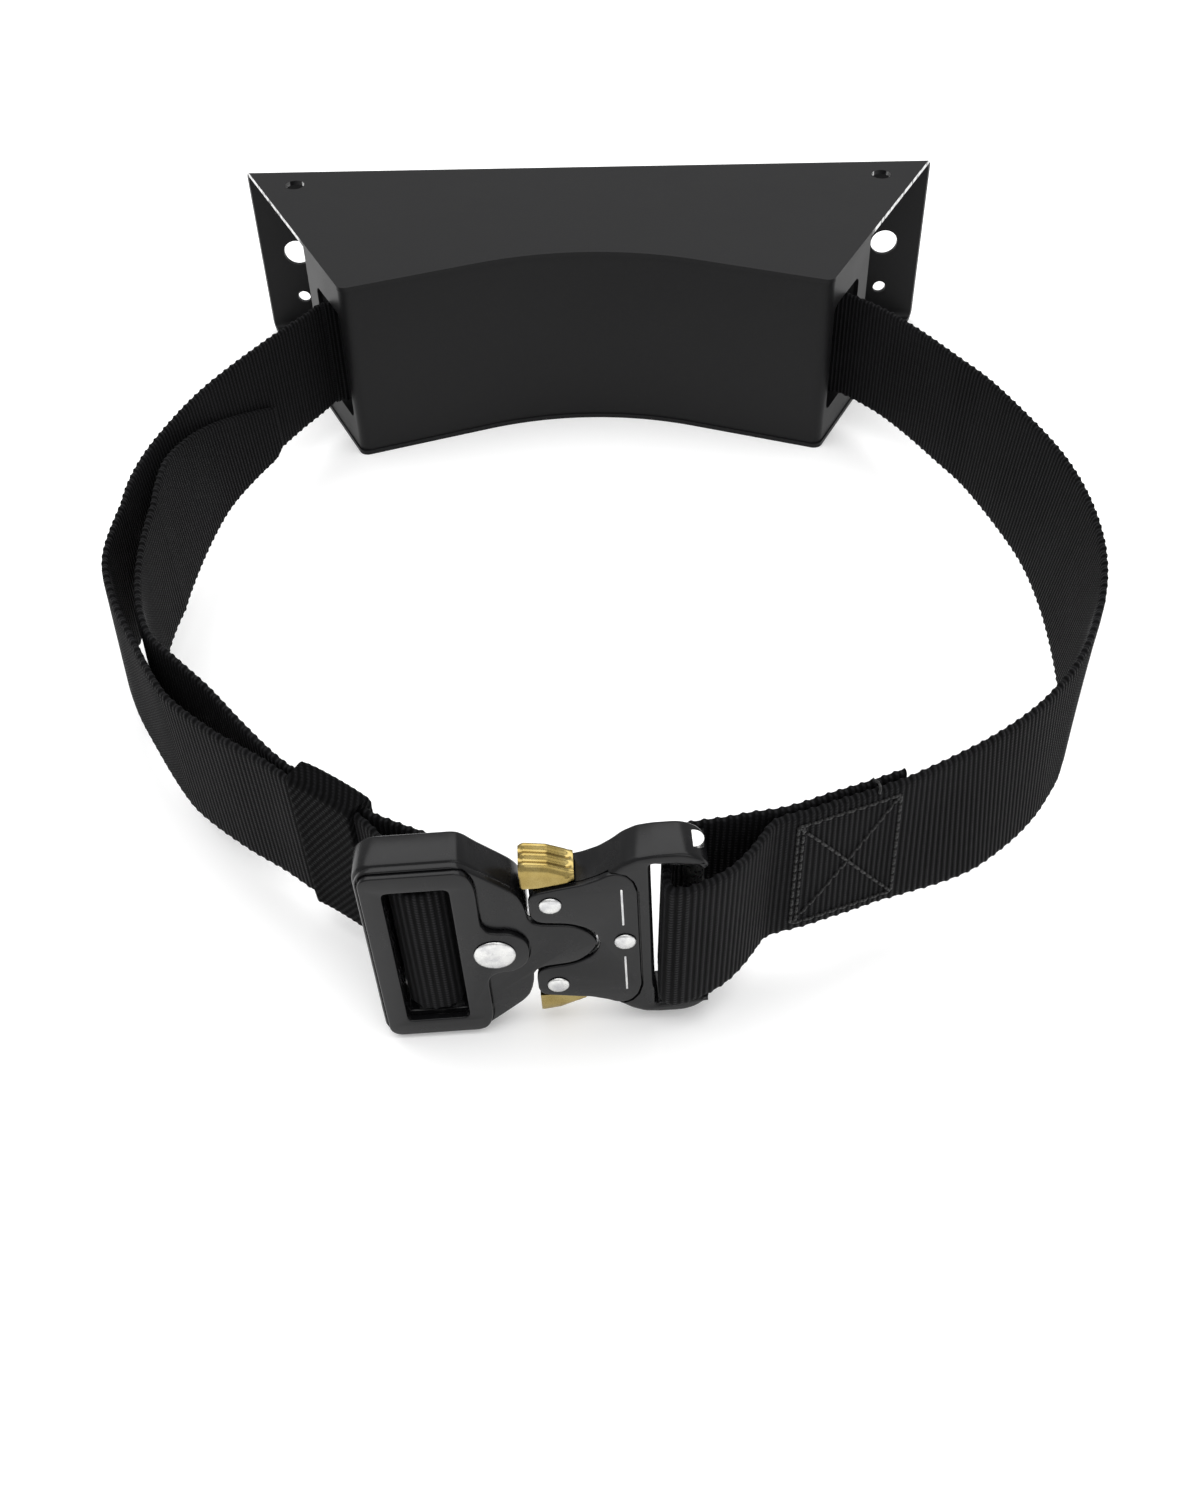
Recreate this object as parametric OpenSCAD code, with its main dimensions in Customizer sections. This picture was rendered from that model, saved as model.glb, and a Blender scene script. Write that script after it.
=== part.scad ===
// Wall bracket for one gas cylinder: a folded steel channel with a welded
// saddle, a webbing strap through the saddle's side slots, and a metal
// side-lever buckle. The wall face is y = 0 and the cylinder stands at -y.

/* [Bracket] */
// Height of the bracket
height = 63.5; // [58:0.5:90]
// Width of the back plate at the wall
width = 240; // [220:1:300]
// Depth from the wall to the front corners
depth = 84; // [76:1:110]
// Width across the two front corners
front_width = 154; // [140:1:170]
// Thickness of the steel sheet
sheet = 1.5; // [1.2:0.1:2]
// Inside radius of the folds
fold_radius = 2; // [1.5:0.5:4]
// Radius of the saddle that the cylinder leans in
saddle_radius = 105; // [95:1:120]
// Angle of the straight lips beside the saddle
lip_angle = 19.5; // [17:0.5:22]
// Length of the side returns, measured from the front corners
return_length = 36; // [32:1:45]
// Rounding of the flanges' front corners
corner_radius = 3; // [2:0.5:4]
// Setback of the saddle from the flanges' edges
setback = 0.4; // [0.2:0.1:1]

/* [Fixing holes] */
// Diameter of the main wall screw holes
screw_hole = 9.5; // [7:0.5:11]
// Distance from the ear's edge to the screw hole centres
screw_edge = 13.5; // [11:0.5:16]
// Diameter of the small locating holes
pilot_hole = 4.5; // [3.5:0.5:5.5]
// Drop from the screw holes to the locating holes
pilot_drop = 18; // [14:0.5:22]
// Diameter of the holes in the top flange
flange_hole = 6.5; // [5:0.5:8]
// Distance from the wall to the flange holes
flange_hole_depth = 12.5; // [10:0.5:16]
// Distance between the flange holes
flange_hole_spacing = 202; // [180:1:206]

/* [Webbing] */
// Width of the webbing
web_width = 38; // [32:1:42]
// Thickness of one layer of webbing
web_thick = 2; // [1.6:0.1:2.2]
// Clearance above and below the webbing in the side slots
slot_clear = 0.75; // [0.5:0.25:1.5]
// Length of the side slots along the returns
slot_length = 22; // [18:1:23]
// Distance from the front corner to the side slot
slot_start = 5; // [5:0.5:7]
// How far the loop bulges beyond the side slots
loop_bulge = 50; // [40:1:70]
// Distance from the wall to the back of the buckle
buckle_reach = 301; // [280:1:340]
// Gap between two layers of webbing
layer_gap = 0.4; // [0.3:0.1:0.8]
// Length of webbing sewn back beyond the socket's bar
sewn_length = 50; // [44:1:54]
// Length of the keeper sleeve's run behind the tongue half
keeper_length = 23.5; // [20:0.5:26]
// Distance from the window's bar to the keeper sleeve's run
keeper_start = 12.6; // [12:0.1:14]
// Length of the slanted cut at the free end
tail_cut = 62; // [40:1:80]
// Wall of the woven keeper sleeve
keeper_wall = 1.2; // [0.8:0.1:1.6]
// Clearance of the keeper sleeve round the webbing
keeper_clear = 0.3; // [0.2:0.1:0.5]

/* [Tongue half of the buckle] */
// Turn of the buckle, its right end towards the wall
turn = 3; // [0:0.5:5]
// Roll of the buckle, its right end up
roll = 1.5; // [0:0.5:3]
// Height of the tongue half
frame_height = 59; // [56:0.5:62]
// Left edge of the tongue half, from the buckle's middle
frame_left = 47.2; // [45:0.1:50]
// Right face of the tongue half, from the buckle's middle
frame_right = 11.4; // [11.3:0.1:13]
// Rounding of the tongue half's outer corners
frame_round = 5; // [3:0.5:7]
// Depth of the buckle from its back to its front plates
face = 10; // [9.6:0.2:11]
// Thickness of the raised cover on the tongue half
cover = 1.2; // [1:0.1:2]
// Width of the webbing window
window_width = 14.2; // [14:0.1:15.4]
// Left edge of the window, from the buckle's middle
window_left = 41.2; // [40:0.1:42]
// Clearance above and below the webbing in the buckle
window_clear = 4; // [3:0.5:5]
// Diameter of the bars that the webbing wraps
bar_diameter = 4.6; // [4:0.1:5]
// Width of the steel tongue
tongue_width = 18; // [16:0.5:19]
// Thickness of the steel tongue and the brass levers
tongue_thick = 3; // [2:0.1:3.5]
// Reach of the tongue past the buckle's middle
tongue_tip = 6.4; // [5.8:0.1:7]
// Diameter of the large rivet's head
big_head = 9.4; // [8:0.2:11]
// Distance of the large rivet from the buckle's middle
big_rivet = 19.3; // [18.5:0.1:20]

/* [Socket half of the buckle] */
// Mouth of the socket, from the buckle's middle
mouth = 10.8; // [9.9:0.1:11]
// Thickness of the socket's front plate
front_plate = 1.5; // [1.2:0.1:1.8]
// Height of the socket at its mouth
mouth_height = 36; // [35:0.5:38]
// Width of the two arms that hold the webbing bar
arm_width = 3; // [2.5:0.5:5]
// Clearance above and below the webbing in the socket
socket_clear = 6; // [4:0.5:7]
// Left edge of the webbing slot
slot_left = 15.6; // [15.2:0.1:17]
// Middle of the webbing bar
bar_middle = 25; // [24.5:0.1:27]
// Length of the arms beyond the webbing bar
arm_end = 3.5; // [3:0.5:7]
// Right edge of the front plate
plate_end = 12.6; // [12.4:0.1:13.5]
// Half height of the notch that shows the tongue
notch_half = 7.8; // [6:0.1:8.5]
// Reach of the notch past the buckle's middle
notch_tip = 3.9; // [2:0.1:5]
// Gap between the notch and the tongue
notch_gap = 0.4; // [0.3:0.05:0.6]
// Diameter of the small rivets' shanks
pivot_shank = 3.2; // [2.6:0.1:3.4]
// Diameter of the small rivets' heads
small_head = 4.8; // [4:0.1:5.2]
// Height of the lever rivets above the buckle's middle line
pivot_height = 14.2; // [14:0.1:14.6]
// Distance of the lever rivets from the buckle's middle
pivot_left = 6.2; // [5.9:0.1:6.5]
// Width of the levers' thumb tabs along the buckle
tab_width = 13.4; // [10:0.1:14]
// Height of the thumb tabs above the socket's edge
tab_rise = 7; // [5:0.5:8]
// Diameter of the wire in the lever springs
spring_wire = 0.5; // [0.4:0.05:0.6]
// Running clearance of levers and tongue
running = 0.3; // [0.25:0.05:0.4]
// Radial clearance of the levers on their rivets
pivot_clear = 0.05; // [0.03:0.01:0.1]

/* [Hidden] */
$fn = 48;
eps = 0.01;
half = height / 2;
black = [0.12, 0.12, 0.13];
steel = [0.8, 0.8, 0.8];
brass = [0.78, 0.68, 0.4];
woven = [0.07, 0.07, 0.07];

// ---- plan of the bracket ----
// The saddle's lips are tangent to an arc round [0, arc_y].
touch_x = saddle_radius * sin(lip_angle);
touch_y = -depth + (front_width / 2 - touch_x) * tan(lip_angle);
arc_y = touch_y - saddle_radius * cos(lip_angle);
corner = [front_width / 2, -depth];
edge = [width / 2, 0] - corner;
edge_angle = atan2(edge[1], edge[0]);
edge_unit = edge / norm(edge);
edge_out = [edge_unit[1], -edge_unit[0]];
lip_unit = [-cos(lip_angle), sin(lip_angle)];
lip_out = [-sin(lip_angle), -cos(lip_angle)];
// The corner's inner angle is shared by the rounding and the fold.
half_angle = acos(edge_unit * lip_unit) / 2;
bisector = (edge_unit + lip_unit) / norm(edge_unit + lip_unit);
fold_outer = fold_radius + sheet;
wall_half = half - sheet;
slot_half = web_width / 2 + slot_clear;
slot_mid = corner + (slot_start + slot_length / 2) * edge_unit - (setback + sheet / 2) * edge_out;
slot_out = [cos(22), -sin(22)];

// ---- the buckle: x to the right, y up and z out of its back plane ----
// The tongue half's lowest corner stands level with the bracket's foot.
frame_half = frame_height / 2;
buckle_z = -half + (frame_left - frame_round) * sin(roll) + (frame_half - frame_round) * cos(roll) + frame_round;
lean = -sin(roll) * [cos(turn), sin(turn)];
front = face + cover;
tongue_z = face - front_plate - running - tongue_thick;
tongue_top = tongue_z + tongue_thick;
bed_z = tongue_z - running;
window_half = web_width / 2 + window_clear;
bar_radius = bar_diameter / 2;
bar_x = -window_left + window_width / 2;
bar_z = face / 2 + 0.35;
socket_bar_z = face / 2 - 0.25;
wrap = bar_radius + 0.3 + web_thick / 2;
shank_fit = 0.03;
mouth_half = mouth_height / 2;
socket_half = web_width / 2 + socket_clear;
arm_half = socket_half + arm_width;
socket_end = bar_middle + arm_end;
bay_half = mouth_half - 1.7;
bay_end = tongue_tip + running;
middle_x = bay_end + pivot_shank / 2 + 1.1;
tongue_half = tongue_width / 2;
hook_low = tongue_half + running;
spring_x = 3.8;
spring_low = 13;
spring_turns = 3;

// ---- curves ----
function lerp(a, b, t) = a + (b - a) * t;
function smooth(t) = let (c = min(1, max(0, t))) c * c * (3 - 2 * c);
function at(p, i) = p[min(len(p) - 1, max(0, i))];
function through(p, i, t) = let (a = at(p, i - 1), b = at(p, i), c = at(p, i + 1), d = at(p, i + 2))
  0.5 * ((2 * b) + (c - a) * t + (2 * a - 5 * b + 4 * c - d) * t * t + (3 * b - a - 3 * c + d) * t * t * t);
function spline(p, n) = [for (i = [0:len(p) - 2]) for (k = [0:n - 1]) through(p, i, k / n), p[len(p) - 1]];
function flip(p) = [for (q = p) [-q[0], q[1]]];
function turned(p) = [for (i = [len(p) - 1:-1:0]) p[i]];
function along(p, i) = let (d = at(p, i + 1) - at(p, i - 1)) d / norm(d);
function side(p, i, d) = let (u = along(p, i)) p[i] + d * [u[1], -u[0]];
function beside(p, d) = [for (i = [0:len(p) - 1]) side(p, i, d)];
function reach(p, i) = i <= 0 ? 0 : norm(p[i] - p[i - 1]) + reach(p, i - 1);
// The webbing leaves the slots at mid height, and takes the buckle's height and roll.
function share(q) = smooth((slot_mid[1] - q[1]) / (buckle_reach * 0.6));
function level(q) = share(q) * (buckle_z + sin(roll) * max(-frame_left, min(frame_left, q[0])));
// Plan of a point given on the buckle, along it and out of its back plane.
function near(q) = [q[0] * cos(turn) + q[1] * sin(turn), -buckle_reach + q[0] * sin(turn) - q[1] * cos(turn)];
function on_buckle(p) = [for (q = p) near(q)];
// Plan of a point on the loop: a share of the bulge and a share of the reach.
function loop(p) = [for (s = p) [slot_mid[0] + s[0] * loop_bulge, lerp(slot_mid[1], -buckle_reach, s[1])]];
function ring(cx, cz, r, from, to, n) = [for (i = [0:n]) let (a = lerp(from, to, i / n))
  near([cx + r * cos(a), cz + r * sin(a)])];

// How far the webbing leans out at its top edge, by the share of the reach: the
// loop twists a little on its way round and is upright at the slots and the buckle.
lean_right = [[0, 0], [0.15, 0.12], [0.35, 0.17], [0.5, 0.12], [0.68, -0.04], [0.82, -0.1], [0.93, -0.05], [1, 0]];
lean_left = [[0, 0], [0.2, 0.05], [0.4, 0.02], [0.52, -0.12], [0.66, -0.15], [0.8, -0.06], [0.9, 0], [1, 0]];
function flare(q) = let (t = (slot_mid[1] - q[1]) / (slot_mid[1] + buckle_reach))
  smooth((abs(q[0]) - 68) / 25) * lookup(t, q[0] > 0 ? lean_right : lean_left);
function outward(q) = let (v = q - [0, -0.61 * buckle_reach]) v / norm(v);

// A band of webbing on edge along a plan curve, its end cut on a slant.
module band(p, thick, tall, cut = 0) {
  n = len(p);
  total = reach(p, n - 1);
  function drop(i) = cut > 0 ? tall * 0.55 * pow(max(0, 1 - (total - reach(p, i)) / cut), 1.3) : 0;
  function lift(i) = cut > 0 ? tall * 0.08 * pow(max(0, 1 - (total - reach(p, i)) / 6), 2) : 0;
  function corner_at(i, d, h) = let (k = flare(p[i]), q = side(p, i, d) + h * share(p[i]) * lean
    + (k * h + abs(k) * web_width / 2) * outward(p[i])) [q[0], q[1], level(p[i]) + h];
  points = [for (i = [0:n - 1]) let (low = lift(i) - tall / 2, high = tall / 2 - drop(i))
    each [corner_at(i, thick / 2, low), corner_at(i, -thick / 2, low),
      corner_at(i, -thick / 2, high), corner_at(i, thick / 2, high)]];
  walls = [for (i = [0:n - 2]) for (k = [0:3]) let (a = 4 * i + k, b = 4 * i + (k + 1) % 4)
    each [[a, b + 4, b], [a, a + 4, b + 4]]];
  ends = [[0, 1, 2], [0, 2, 3], [4 * n - 2, 4 * n - 3, 4 * n - 4], [4 * n - 1, 4 * n - 2, 4 * n - 4]];
  polyhedron(points = points, faces = concat(walls, ends));
}

// Round the right side, from the side slot to the sewn loop on the socket's bar.
right_loop = beside(loop([[0.13, 0.018], [0.28, 0.057], [0.42, 0.106], [0.574, 0.17], [0.714, 0.231],
  [0.854, 0.322], [0.934, 0.392], [0.966, 0.464], [0.966, 0.535], [0.94, 0.61], [0.894, 0.67],
  [0.8, 0.74], [0.64, 0.79], [0.484, 0.826], [0.3, 0.858], [0.1, 0.886]]), web_thick / 2);
sewn_outer = [for (s = [[1.02, -0.324], [0.894, -0.276], [0.69, -0.192], [0.546, -0.132], [0.42, -0.098]])
  [bar_middle, 0] + sewn_length * s];
sewn_inner = turned(beside(on_buckle(sewn_outer), web_thick + layer_gap));
socket_wrap = [[bar_middle + 18, -3.4], [bar_middle + 15.6, -0.2], [bar_middle + 12.7, 3.6],
  [bar_middle + 9, 7.4], [bar_middle + 5.2, face], [bar_middle + 1, face + 1.9],
  [bar_middle - 2.4, face + 3], [bar_middle - 5.2, face + 2.6], [bar_middle - 6.1, face + 0.5],
  [bar_middle - 6, face - 3], [bar_middle - 5.8, socket_bar_z], [bar_middle - 5.5, 0.4],
  [bar_middle - 4.6, -2.6], [bar_middle - 2.4, -4.5], [bar_middle + 2.3, -5.2], [bar_middle + 8, -5.7],
  [bar_middle + 14, -6.6]];
// Inside the bracket the strap runs from slot to slot behind the saddle.
inner_middle = arc_y + saddle_radius + setback + sheet + web_thick / 2 + 0.6;
function inner_y(x) = lerp(inner_middle, slot_mid[1], pow(abs(x) / slot_mid[0], 1.25));
inner_run = [for (s = [-0.9:0.15:0.91]) [s * slot_mid[0], inner_y(s * slot_mid[0])]];
strap_join = flip([slot_mid + 2.2 * slot_out])[0];
strap_path = concat([strap_join, flip([slot_mid])[0]], inner_run,
  spline(concat([slot_mid], right_loop, on_buckle(sewn_outer)), 2),
  on_buckle(socket_wrap), sewn_inner);

// Round the left side, through the keeper, round the bar and back as the free end.
join_out = [-slot_out[0], slot_out[1]];
left_loop = beside(flip(loop([[0.16, 0.034], [0.274, 0.075], [0.454, 0.149], [0.634, 0.231], [0.784, 0.325],
  [0.868, 0.405], [0.9, 0.483], [0.884, 0.557], [0.768, 0.626], [0.594, 0.696], [0.426, 0.759],
  [0.294, 0.796], [0.054, 0.841], [-0.178, 0.876]])), -web_thick / 2);
keeper_zone = on_buckle([for (s = [[-0.783, -0.621], [-0.587, -0.498], [-0.374, -0.336], [-0.162, -0.157], [0, 0]])
  [bar_x - keeper_start, -keeper_start] + keeper_length * s]);
to_bar = on_buckle([[bar_x - 8.4, -7.4], [bar_x - 5.6, -2.6], [bar_x - 4.2, 1.4]]);
bar_wrap = ring(bar_x, bar_z, wrap, 178, -24, 9);
from_bar = on_buckle([[bar_x + 3.5, 0.6], [bar_x + 2.3, -2.8], [bar_x - 0.6, -6.2], [bar_x - 5, -9.9]]);
tail_loop = beside(flip(loop([[-0.25, 0.861], [-0.066, 0.816], [0.12, 0.768], [0.314, 0.724], [0.47, 0.688],
  [0.56, 0.65], [0.62, 0.606], [0.66, 0.555], [0.68, 0.505], [0.684, 0.444], [0.666, 0.383],
  [0.63, 0.318], [0.57, 0.253], [0.458, 0.19], [0.314, 0.127]])), -web_thick / 2);
free_path = concat([strap_join + 0.3 * join_out, strap_join + 1.5 * join_out],
  spline(concat(left_loop, keeper_zone, to_bar), 2), bar_wrap,
  spline(concat(from_bar, turned(beside(keeper_zone, -web_thick - layer_gap)), tail_loop), 2));

// ---- bracket ----
// Points along an arc, from one angle to another.
function arc(centre, r, from, to, n) = [for (i = [0:n]) let (a = lerp(from, to, i / n)) centre + r * [cos(a), sin(a)]];

// The bracket's plan, drawn in by d all round, with front corners of radius r.
function plan(d, r) = let (centre = corner + (d + r) / sin(half_angle) * bisector, on_edge = centre + r * edge_out,
  rear = on_edge - (on_edge[1] - 5) / edge_unit[1] * edge_unit,
  right = concat([rear], arc(centre, r, edge_angle - 90, -90 - lip_angle, 8)),
  front = arc([0, arc_y], saddle_radius + d, 90 - lip_angle, 90 + lip_angle, 36))
  concat(right, front, turned(flip(right)));

// A block with two folded back edges, seen from its end.
function fold_profile(back, tall, r) = concat([[-depth - 20, -tall]], arc([back - r, r - tall], r, -90, 0, 8),
  arc([back - r, tall - r], r, 0, 90, 8), [[-depth - 20, tall]]);

module wall_hole(x, z, d) {
  translate([x, 1, z]) rotate([90, 0, 0]) cylinder(d = d, h = sheet + 2);
}

module wall_channel() color(black) difference() {
  intersection() {
    translate([-width, 0, 0]) rotate([90, 0, 90]) linear_extrude(height = 2 * width)
      polygon(concat(fold_profile(0, half, fold_radius + sheet), turned(fold_profile(-sheet, half - sheet, fold_radius))));
    translate([0, 0, -half - 1]) linear_extrude(height = height + 2) polygon(plan(0, corner_radius));
  }
  for (m = [0, 1]) mirror([m, 0, 0]) {
    wall_hole(width / 2 - screw_edge, 0, screw_hole);
    wall_hole(width / 2 - screw_edge, -pilot_drop, pilot_hole);
    translate([flange_hole_spacing / 2, -flange_hole_depth, half - sheet - 1]) cylinder(d = flange_hole, h = sheet + 2);
  }
}

module side_slot() {
  r = 3;
  for (s = [-1, 1]) for (x = [slot_start + r, slot_start + slot_length - r])
    translate([x, 0, s * (slot_half - r)]) rotate([-90, 0, 0]) cylinder(r = r, h = sheet + 2);
  translate([slot_start + r, 0, -slot_half]) cube([slot_length - 2 * r, sheet + 2, 2 * slot_half]);
  translate([slot_start, 0, -slot_half + r]) cube([slot_length, sheet + 2, 2 * (slot_half - r)]);
}

module saddle() color(black) difference() {
  translate([0, 0, -wall_half]) linear_extrude(height = 2 * wall_half) difference() {
    polygon(plan(setback, fold_outer));
    polygon(plan(setback + sheet, fold_radius));
    translate([-width, -depth + return_length * edge_unit[1]]) square([2 * width, depth]);
  }
  for (m = [0, 1]) mirror([m, 0, 0]) translate([corner[0], corner[1], 0]) rotate([0, 0, edge_angle])
    translate([0, setback - 1, 0]) side_slot();
}

// ---- webbing ----
module strap() color(woven) band(strap_path, web_thick, web_width);

module strap_free_end() color(woven) band(free_path, web_thick, web_width, tail_cut);

module strap_keeper() color(woven) difference() {
  middle = spline(beside(keeper_zone, -(web_thick + layer_gap) / 2), 2);
  inside = 2 * web_thick + layer_gap + 2 * keeper_clear;
  before = [for (i = [2:len(middle) - 3]) middle[i]];
  band(before, inside + 2 * keeper_wall, web_width + 2 * (keeper_clear + keeper_wall));
  band(middle, inside, web_width + 2 * keeper_clear);
}

// ---- tongue half ----
module placed() {
  translate([0, -buckle_reach, buckle_z]) rotate([0, -roll, turn]) rotate([90, 0, 0]) children();
}

// Each outline given is a plate of its own, joined to the others.
module plate_at(z, h) {
  for (i = [0:$children - 1]) translate([0, 0, z]) linear_extrude(height = h) children(i);
}

// An outline from its upper half, the lower half being its mirror image.
function both(p) = concat(p, turned([for (q = p) if (q[1] > eps) [q[0], -q[1]]]));

module hole_at(x, y, d) {
  translate([x, y, -1]) cylinder(d = d, h = front + 3);
}

module body_outline() {
  r = frame_round;
  h = frame_half;
  polygon(both(concat([[-frame_left, 0]], arc([r - frame_left, h - r], r, 180, 90, 8), [[-24, h], [-24, 0]])));
}

// The wings run from the body's corners in to the socket's mouth.
module wings() {
  h = frame_half;
  polygon(both([[-26, 0], [-26, h], [-24.6, h - 0.3], [-23.2, h - 1.3], [-20.8, h - 3.9], [-16.8, h - 7.6], [-14.2, h - 10.1],
    [-12.9, h - 12], [-12.1, h - 14.4], [-frame_right - 0.2, h - 17], [-frame_right, h - 19.5], [-frame_right, 0]]));
}

// The edge of the notch in the socket's front plate, drawn in by d for the tongue.
function notch(d) = let (w = notch_half - d, t = notch_tip - d)
  [[-frame_right + 0.6 - d, w + 4], [-frame_right + 0.8 - d, w + 2.6], [-frame_right + 1.6 - d, w + 1.3],
   [-8.4 - 0.7 * d, w + 0.4], [-6.4 - 0.3 * d, w], [-4.1 - 0.1 * d, w - 0.3], [-1.4, w - 1.1],
   [t - 2.2, w - 3], [t - 0.6, w - 5.3], [t, 0]];

module window() {
  translate([-window_left, -window_half, -1]) cube([window_width, 2 * window_half, front + 2]);
}

module tongue_frame() color(black) placed() difference() {
  union() {
    plate_at(0, face) {
      body_outline();
      wings();
    }
    plate_at(tongue_top, face - tongue_top)
      polygon(both(concat([[-14, 0], [-14, notch_half + 3.6]], notch(notch_gap))));
  }
  window();
  translate([-window_left + window_width + 1.5, -tongue_half, tongue_z]) cube([40, tongue_width, tongue_thick]);
  translate([bar_x, -window_half - 3, bar_z]) rotate([-90, 0, 0]) cylinder(d = bar_diameter + 2 * shank_fit, h = 2 * window_half + 6);
  hole_at(-big_rivet, 0, big_head / 2);
}

module tongue_cover() color(black) placed() difference() {
  h = frame_half - 1.3;
  left = -frame_left + 1.4;
  plate_at(face, cover) polygon(both(concat([[left, 0]], arc([left + 3, h - 3], 3, 180, 90, 6),
    [[-25.4, h], [-23.8, h - 0.6], [-22.6, h - 2.2], [-21.8, h - 5], [-21.6, h - 8], [-21.6, 11.8], [-21.3, 9.4],
     [-20.2, 7.7], [-18.2, 6.9], [-15.9, 6.6], [-13.8, 5.4], [-12.2, 3.1], [-11.7, 0]])));
  window();
  hole_at(-big_rivet, 0, big_head / 2);
}

module tongue_plate() color(steel) placed() difference() {
  plate_at(tongue_z, tongue_thick) {
    translate([-window_left + window_width + 1.5, -tongue_half])
      square([window_left - window_width - 1.5 + tongue_tip - 3, tongue_width]);
    polygon([[tongue_tip - 4, tongue_half], [tongue_tip - 3, tongue_half], [tongue_tip, tongue_half - 3],
      [tongue_tip, 3 - tongue_half], [tongue_tip - 3, -tongue_half], [tongue_tip - 4, -tongue_half]]);
  }
  for (s = [-1, 1]) translate([-3.2, s > 0 ? tongue_half - 2.4 : -tongue_half - 1, tongue_z - 1]) cube([5.6, 3.4, tongue_thick + 2]);
  hole_at(-big_rivet, 0, big_head / 2);
}

module tongue_rivet() color(steel) placed() translate([-big_rivet, 0, 0]) {
  cylinder(d = big_head / 2 - 2 * shank_fit, h = front + 0.5);
  translate([0, 0, front]) cylinder(d1 = big_head, d2 = big_head - 1.6, h = 1.1);
}

module adjuster_bar() color(steel) placed()
  translate([bar_x, -window_half - 2.6, bar_z]) rotate([-90, 0, 0]) cylinder(d = bar_diameter, h = 2 * window_half + 5.2);

// ---- socket half ----
// The socket's edge from its mouth to where the front plate ends.
socket_edge = [[-mouth, mouth_half - 2.2], [-mouth + 0.8, mouth_half - 0.5], [-mouth + 2.2, mouth_half + 0.2],
  [-4.5, mouth_half + 1.1], [1, mouth_half + 2.1], [4.7, mouth_half + 3.6]];

module socket_outline() polygon(both(concat([[-mouth, 0]], socket_edge, [[7.5, arm_half - 4.4], [10, arm_half - 2.1],
  [13, arm_half - 0.5], [16.5, arm_half]], arc([socket_end - 6.5, arm_half - 6.5], 6.5, 90, 0, 8), [[socket_end, 0]])));

module plate_outline() polygon(both(concat([[-mouth, 0]], socket_edge, [[6.4, mouth_half + 4.6], [8.2, mouth_half + 5],
  [10.2, mouth_half + 4.1], [11.7, mouth_half + 2], [plate_end, mouth_half - 1.5], [plate_end, 0]])));

module socket_housing() color(black) placed() difference() {
  plate_at(0, face) socket_outline();
  // the seat of the front plate
  translate([0, 0, face - front_plate]) linear_extrude(height = front_plate + 1) plate_outline();
  translate([-mouth - 1, -arm_half, face - front_plate]) cube([mouth + 5.7, 2 * arm_half, front_plate + 1]);
  // the webbing slot and the space round the bar
  translate([slot_left, -socket_half, -1]) cube([socket_end, 2 * socket_half, face + 2]);
  translate([bar_middle, -socket_half - 2, socket_bar_z]) rotate([-90, 0, 0])
    cylinder(d = bar_diameter + 2 * shank_fit, h = 2 * socket_half + 4);
  // the bay of the tongue and levers, open at the mouth and beside the tabs
  translate([-mouth - 1, -bay_half, bed_z]) cube([mouth + 1 + bay_end, 2 * bay_half, face]);
  translate([-mouth - 1, -arm_half, bed_z]) cube([mouth + 0.5, 2 * arm_half, face]);
  for (s = [-1, 1]) hole_at(-pivot_left, s * pivot_height, pivot_shank + 2 * shank_fit);
  hole_at(middle_x, 0, pivot_shank + 2 * shank_fit);
}

module socket_front_plate() color(black) placed() difference() {
  plate_at(face - front_plate, front_plate) plate_outline();
  translate([0, 0, face - 3]) linear_extrude(height = 5) polygon(both(concat([[-20, 0], [-20, notch_half + 4]], notch(0))));
  for (s = [-1, 1]) hole_at(-pivot_left, s * pivot_height, pivot_shank + 2 * shank_fit);
  hole_at(middle_x, 0, pivot_shank + 2 * shank_fit);
}

module socket_bar() color(steel) placed()
  translate([bar_middle, -socket_half - 1.8, socket_bar_z]) rotate([-90, 0, 0]) cylinder(d = bar_diameter, h = 2 * socket_half + 3.6);

// The thumb tab is tall over the mouth and tapers along the socket's edge.
module tab_outline() {
  m = mouth_half + 1.2;
  left = -pivot_left - 6;
  w = tab_width;
  polygon([[left, m], [left + 0.28 * w, m], [left + 0.57 * w, m + 0.7], [left + 0.96 * w, m + 1.8],
    [left + w, m + 0.34 * tab_rise], [left + 0.93 * w, m + 0.45 * tab_rise], [left + 0.8 * w, m + 0.56 * tab_rise],
    [left + 0.45 * w, m + 0.88 * tab_rise], [left + 0.1 * w, m + tab_rise], [left, m + 0.93 * tab_rise]]);
}

module lever() difference() {
  union() {
    plate_at(tongue_z, tongue_thick) {
      translate([-pivot_left, pivot_height]) circle(r = 3.4);
      polygon([[-pivot_left, pivot_height + 3], [-1.4, 15], [1.4, spring_low], [5.8, spring_low], [5.8, hook_low], [0.2, hook_low],
        [-pivot_left, pivot_height - 3.4]]);
      translate([-pivot_left - 3.4, pivot_height]) square([6.4, mouth_half + 2 - pivot_height]);
    }
    plate_at(1.2, face - 2) tab_outline();
  }
  translate([-pivot_left, pivot_height, 0]) cylinder(d = pivot_shank + 2 * pivot_clear, h = front);
}

module upper_lever() color(brass) placed() lever();
module lower_lever() color(brass) placed() mirror([0, 1, 0]) lever();

module rivet(x, y) color(steel) placed() translate([x, y, 0]) {
  cylinder(d = pivot_shank, h = face + 0.3);
  translate([0, 0, face]) cylinder(d1 = small_head, d2 = small_head - 1, h = 0.7);
}

module upper_lever_rivet() rivet(-pivot_left, pivot_height);
module lower_lever_rivet() rivet(-pivot_left, -pivot_height);
module middle_rivet() rivet(middle_x, 0);

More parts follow.
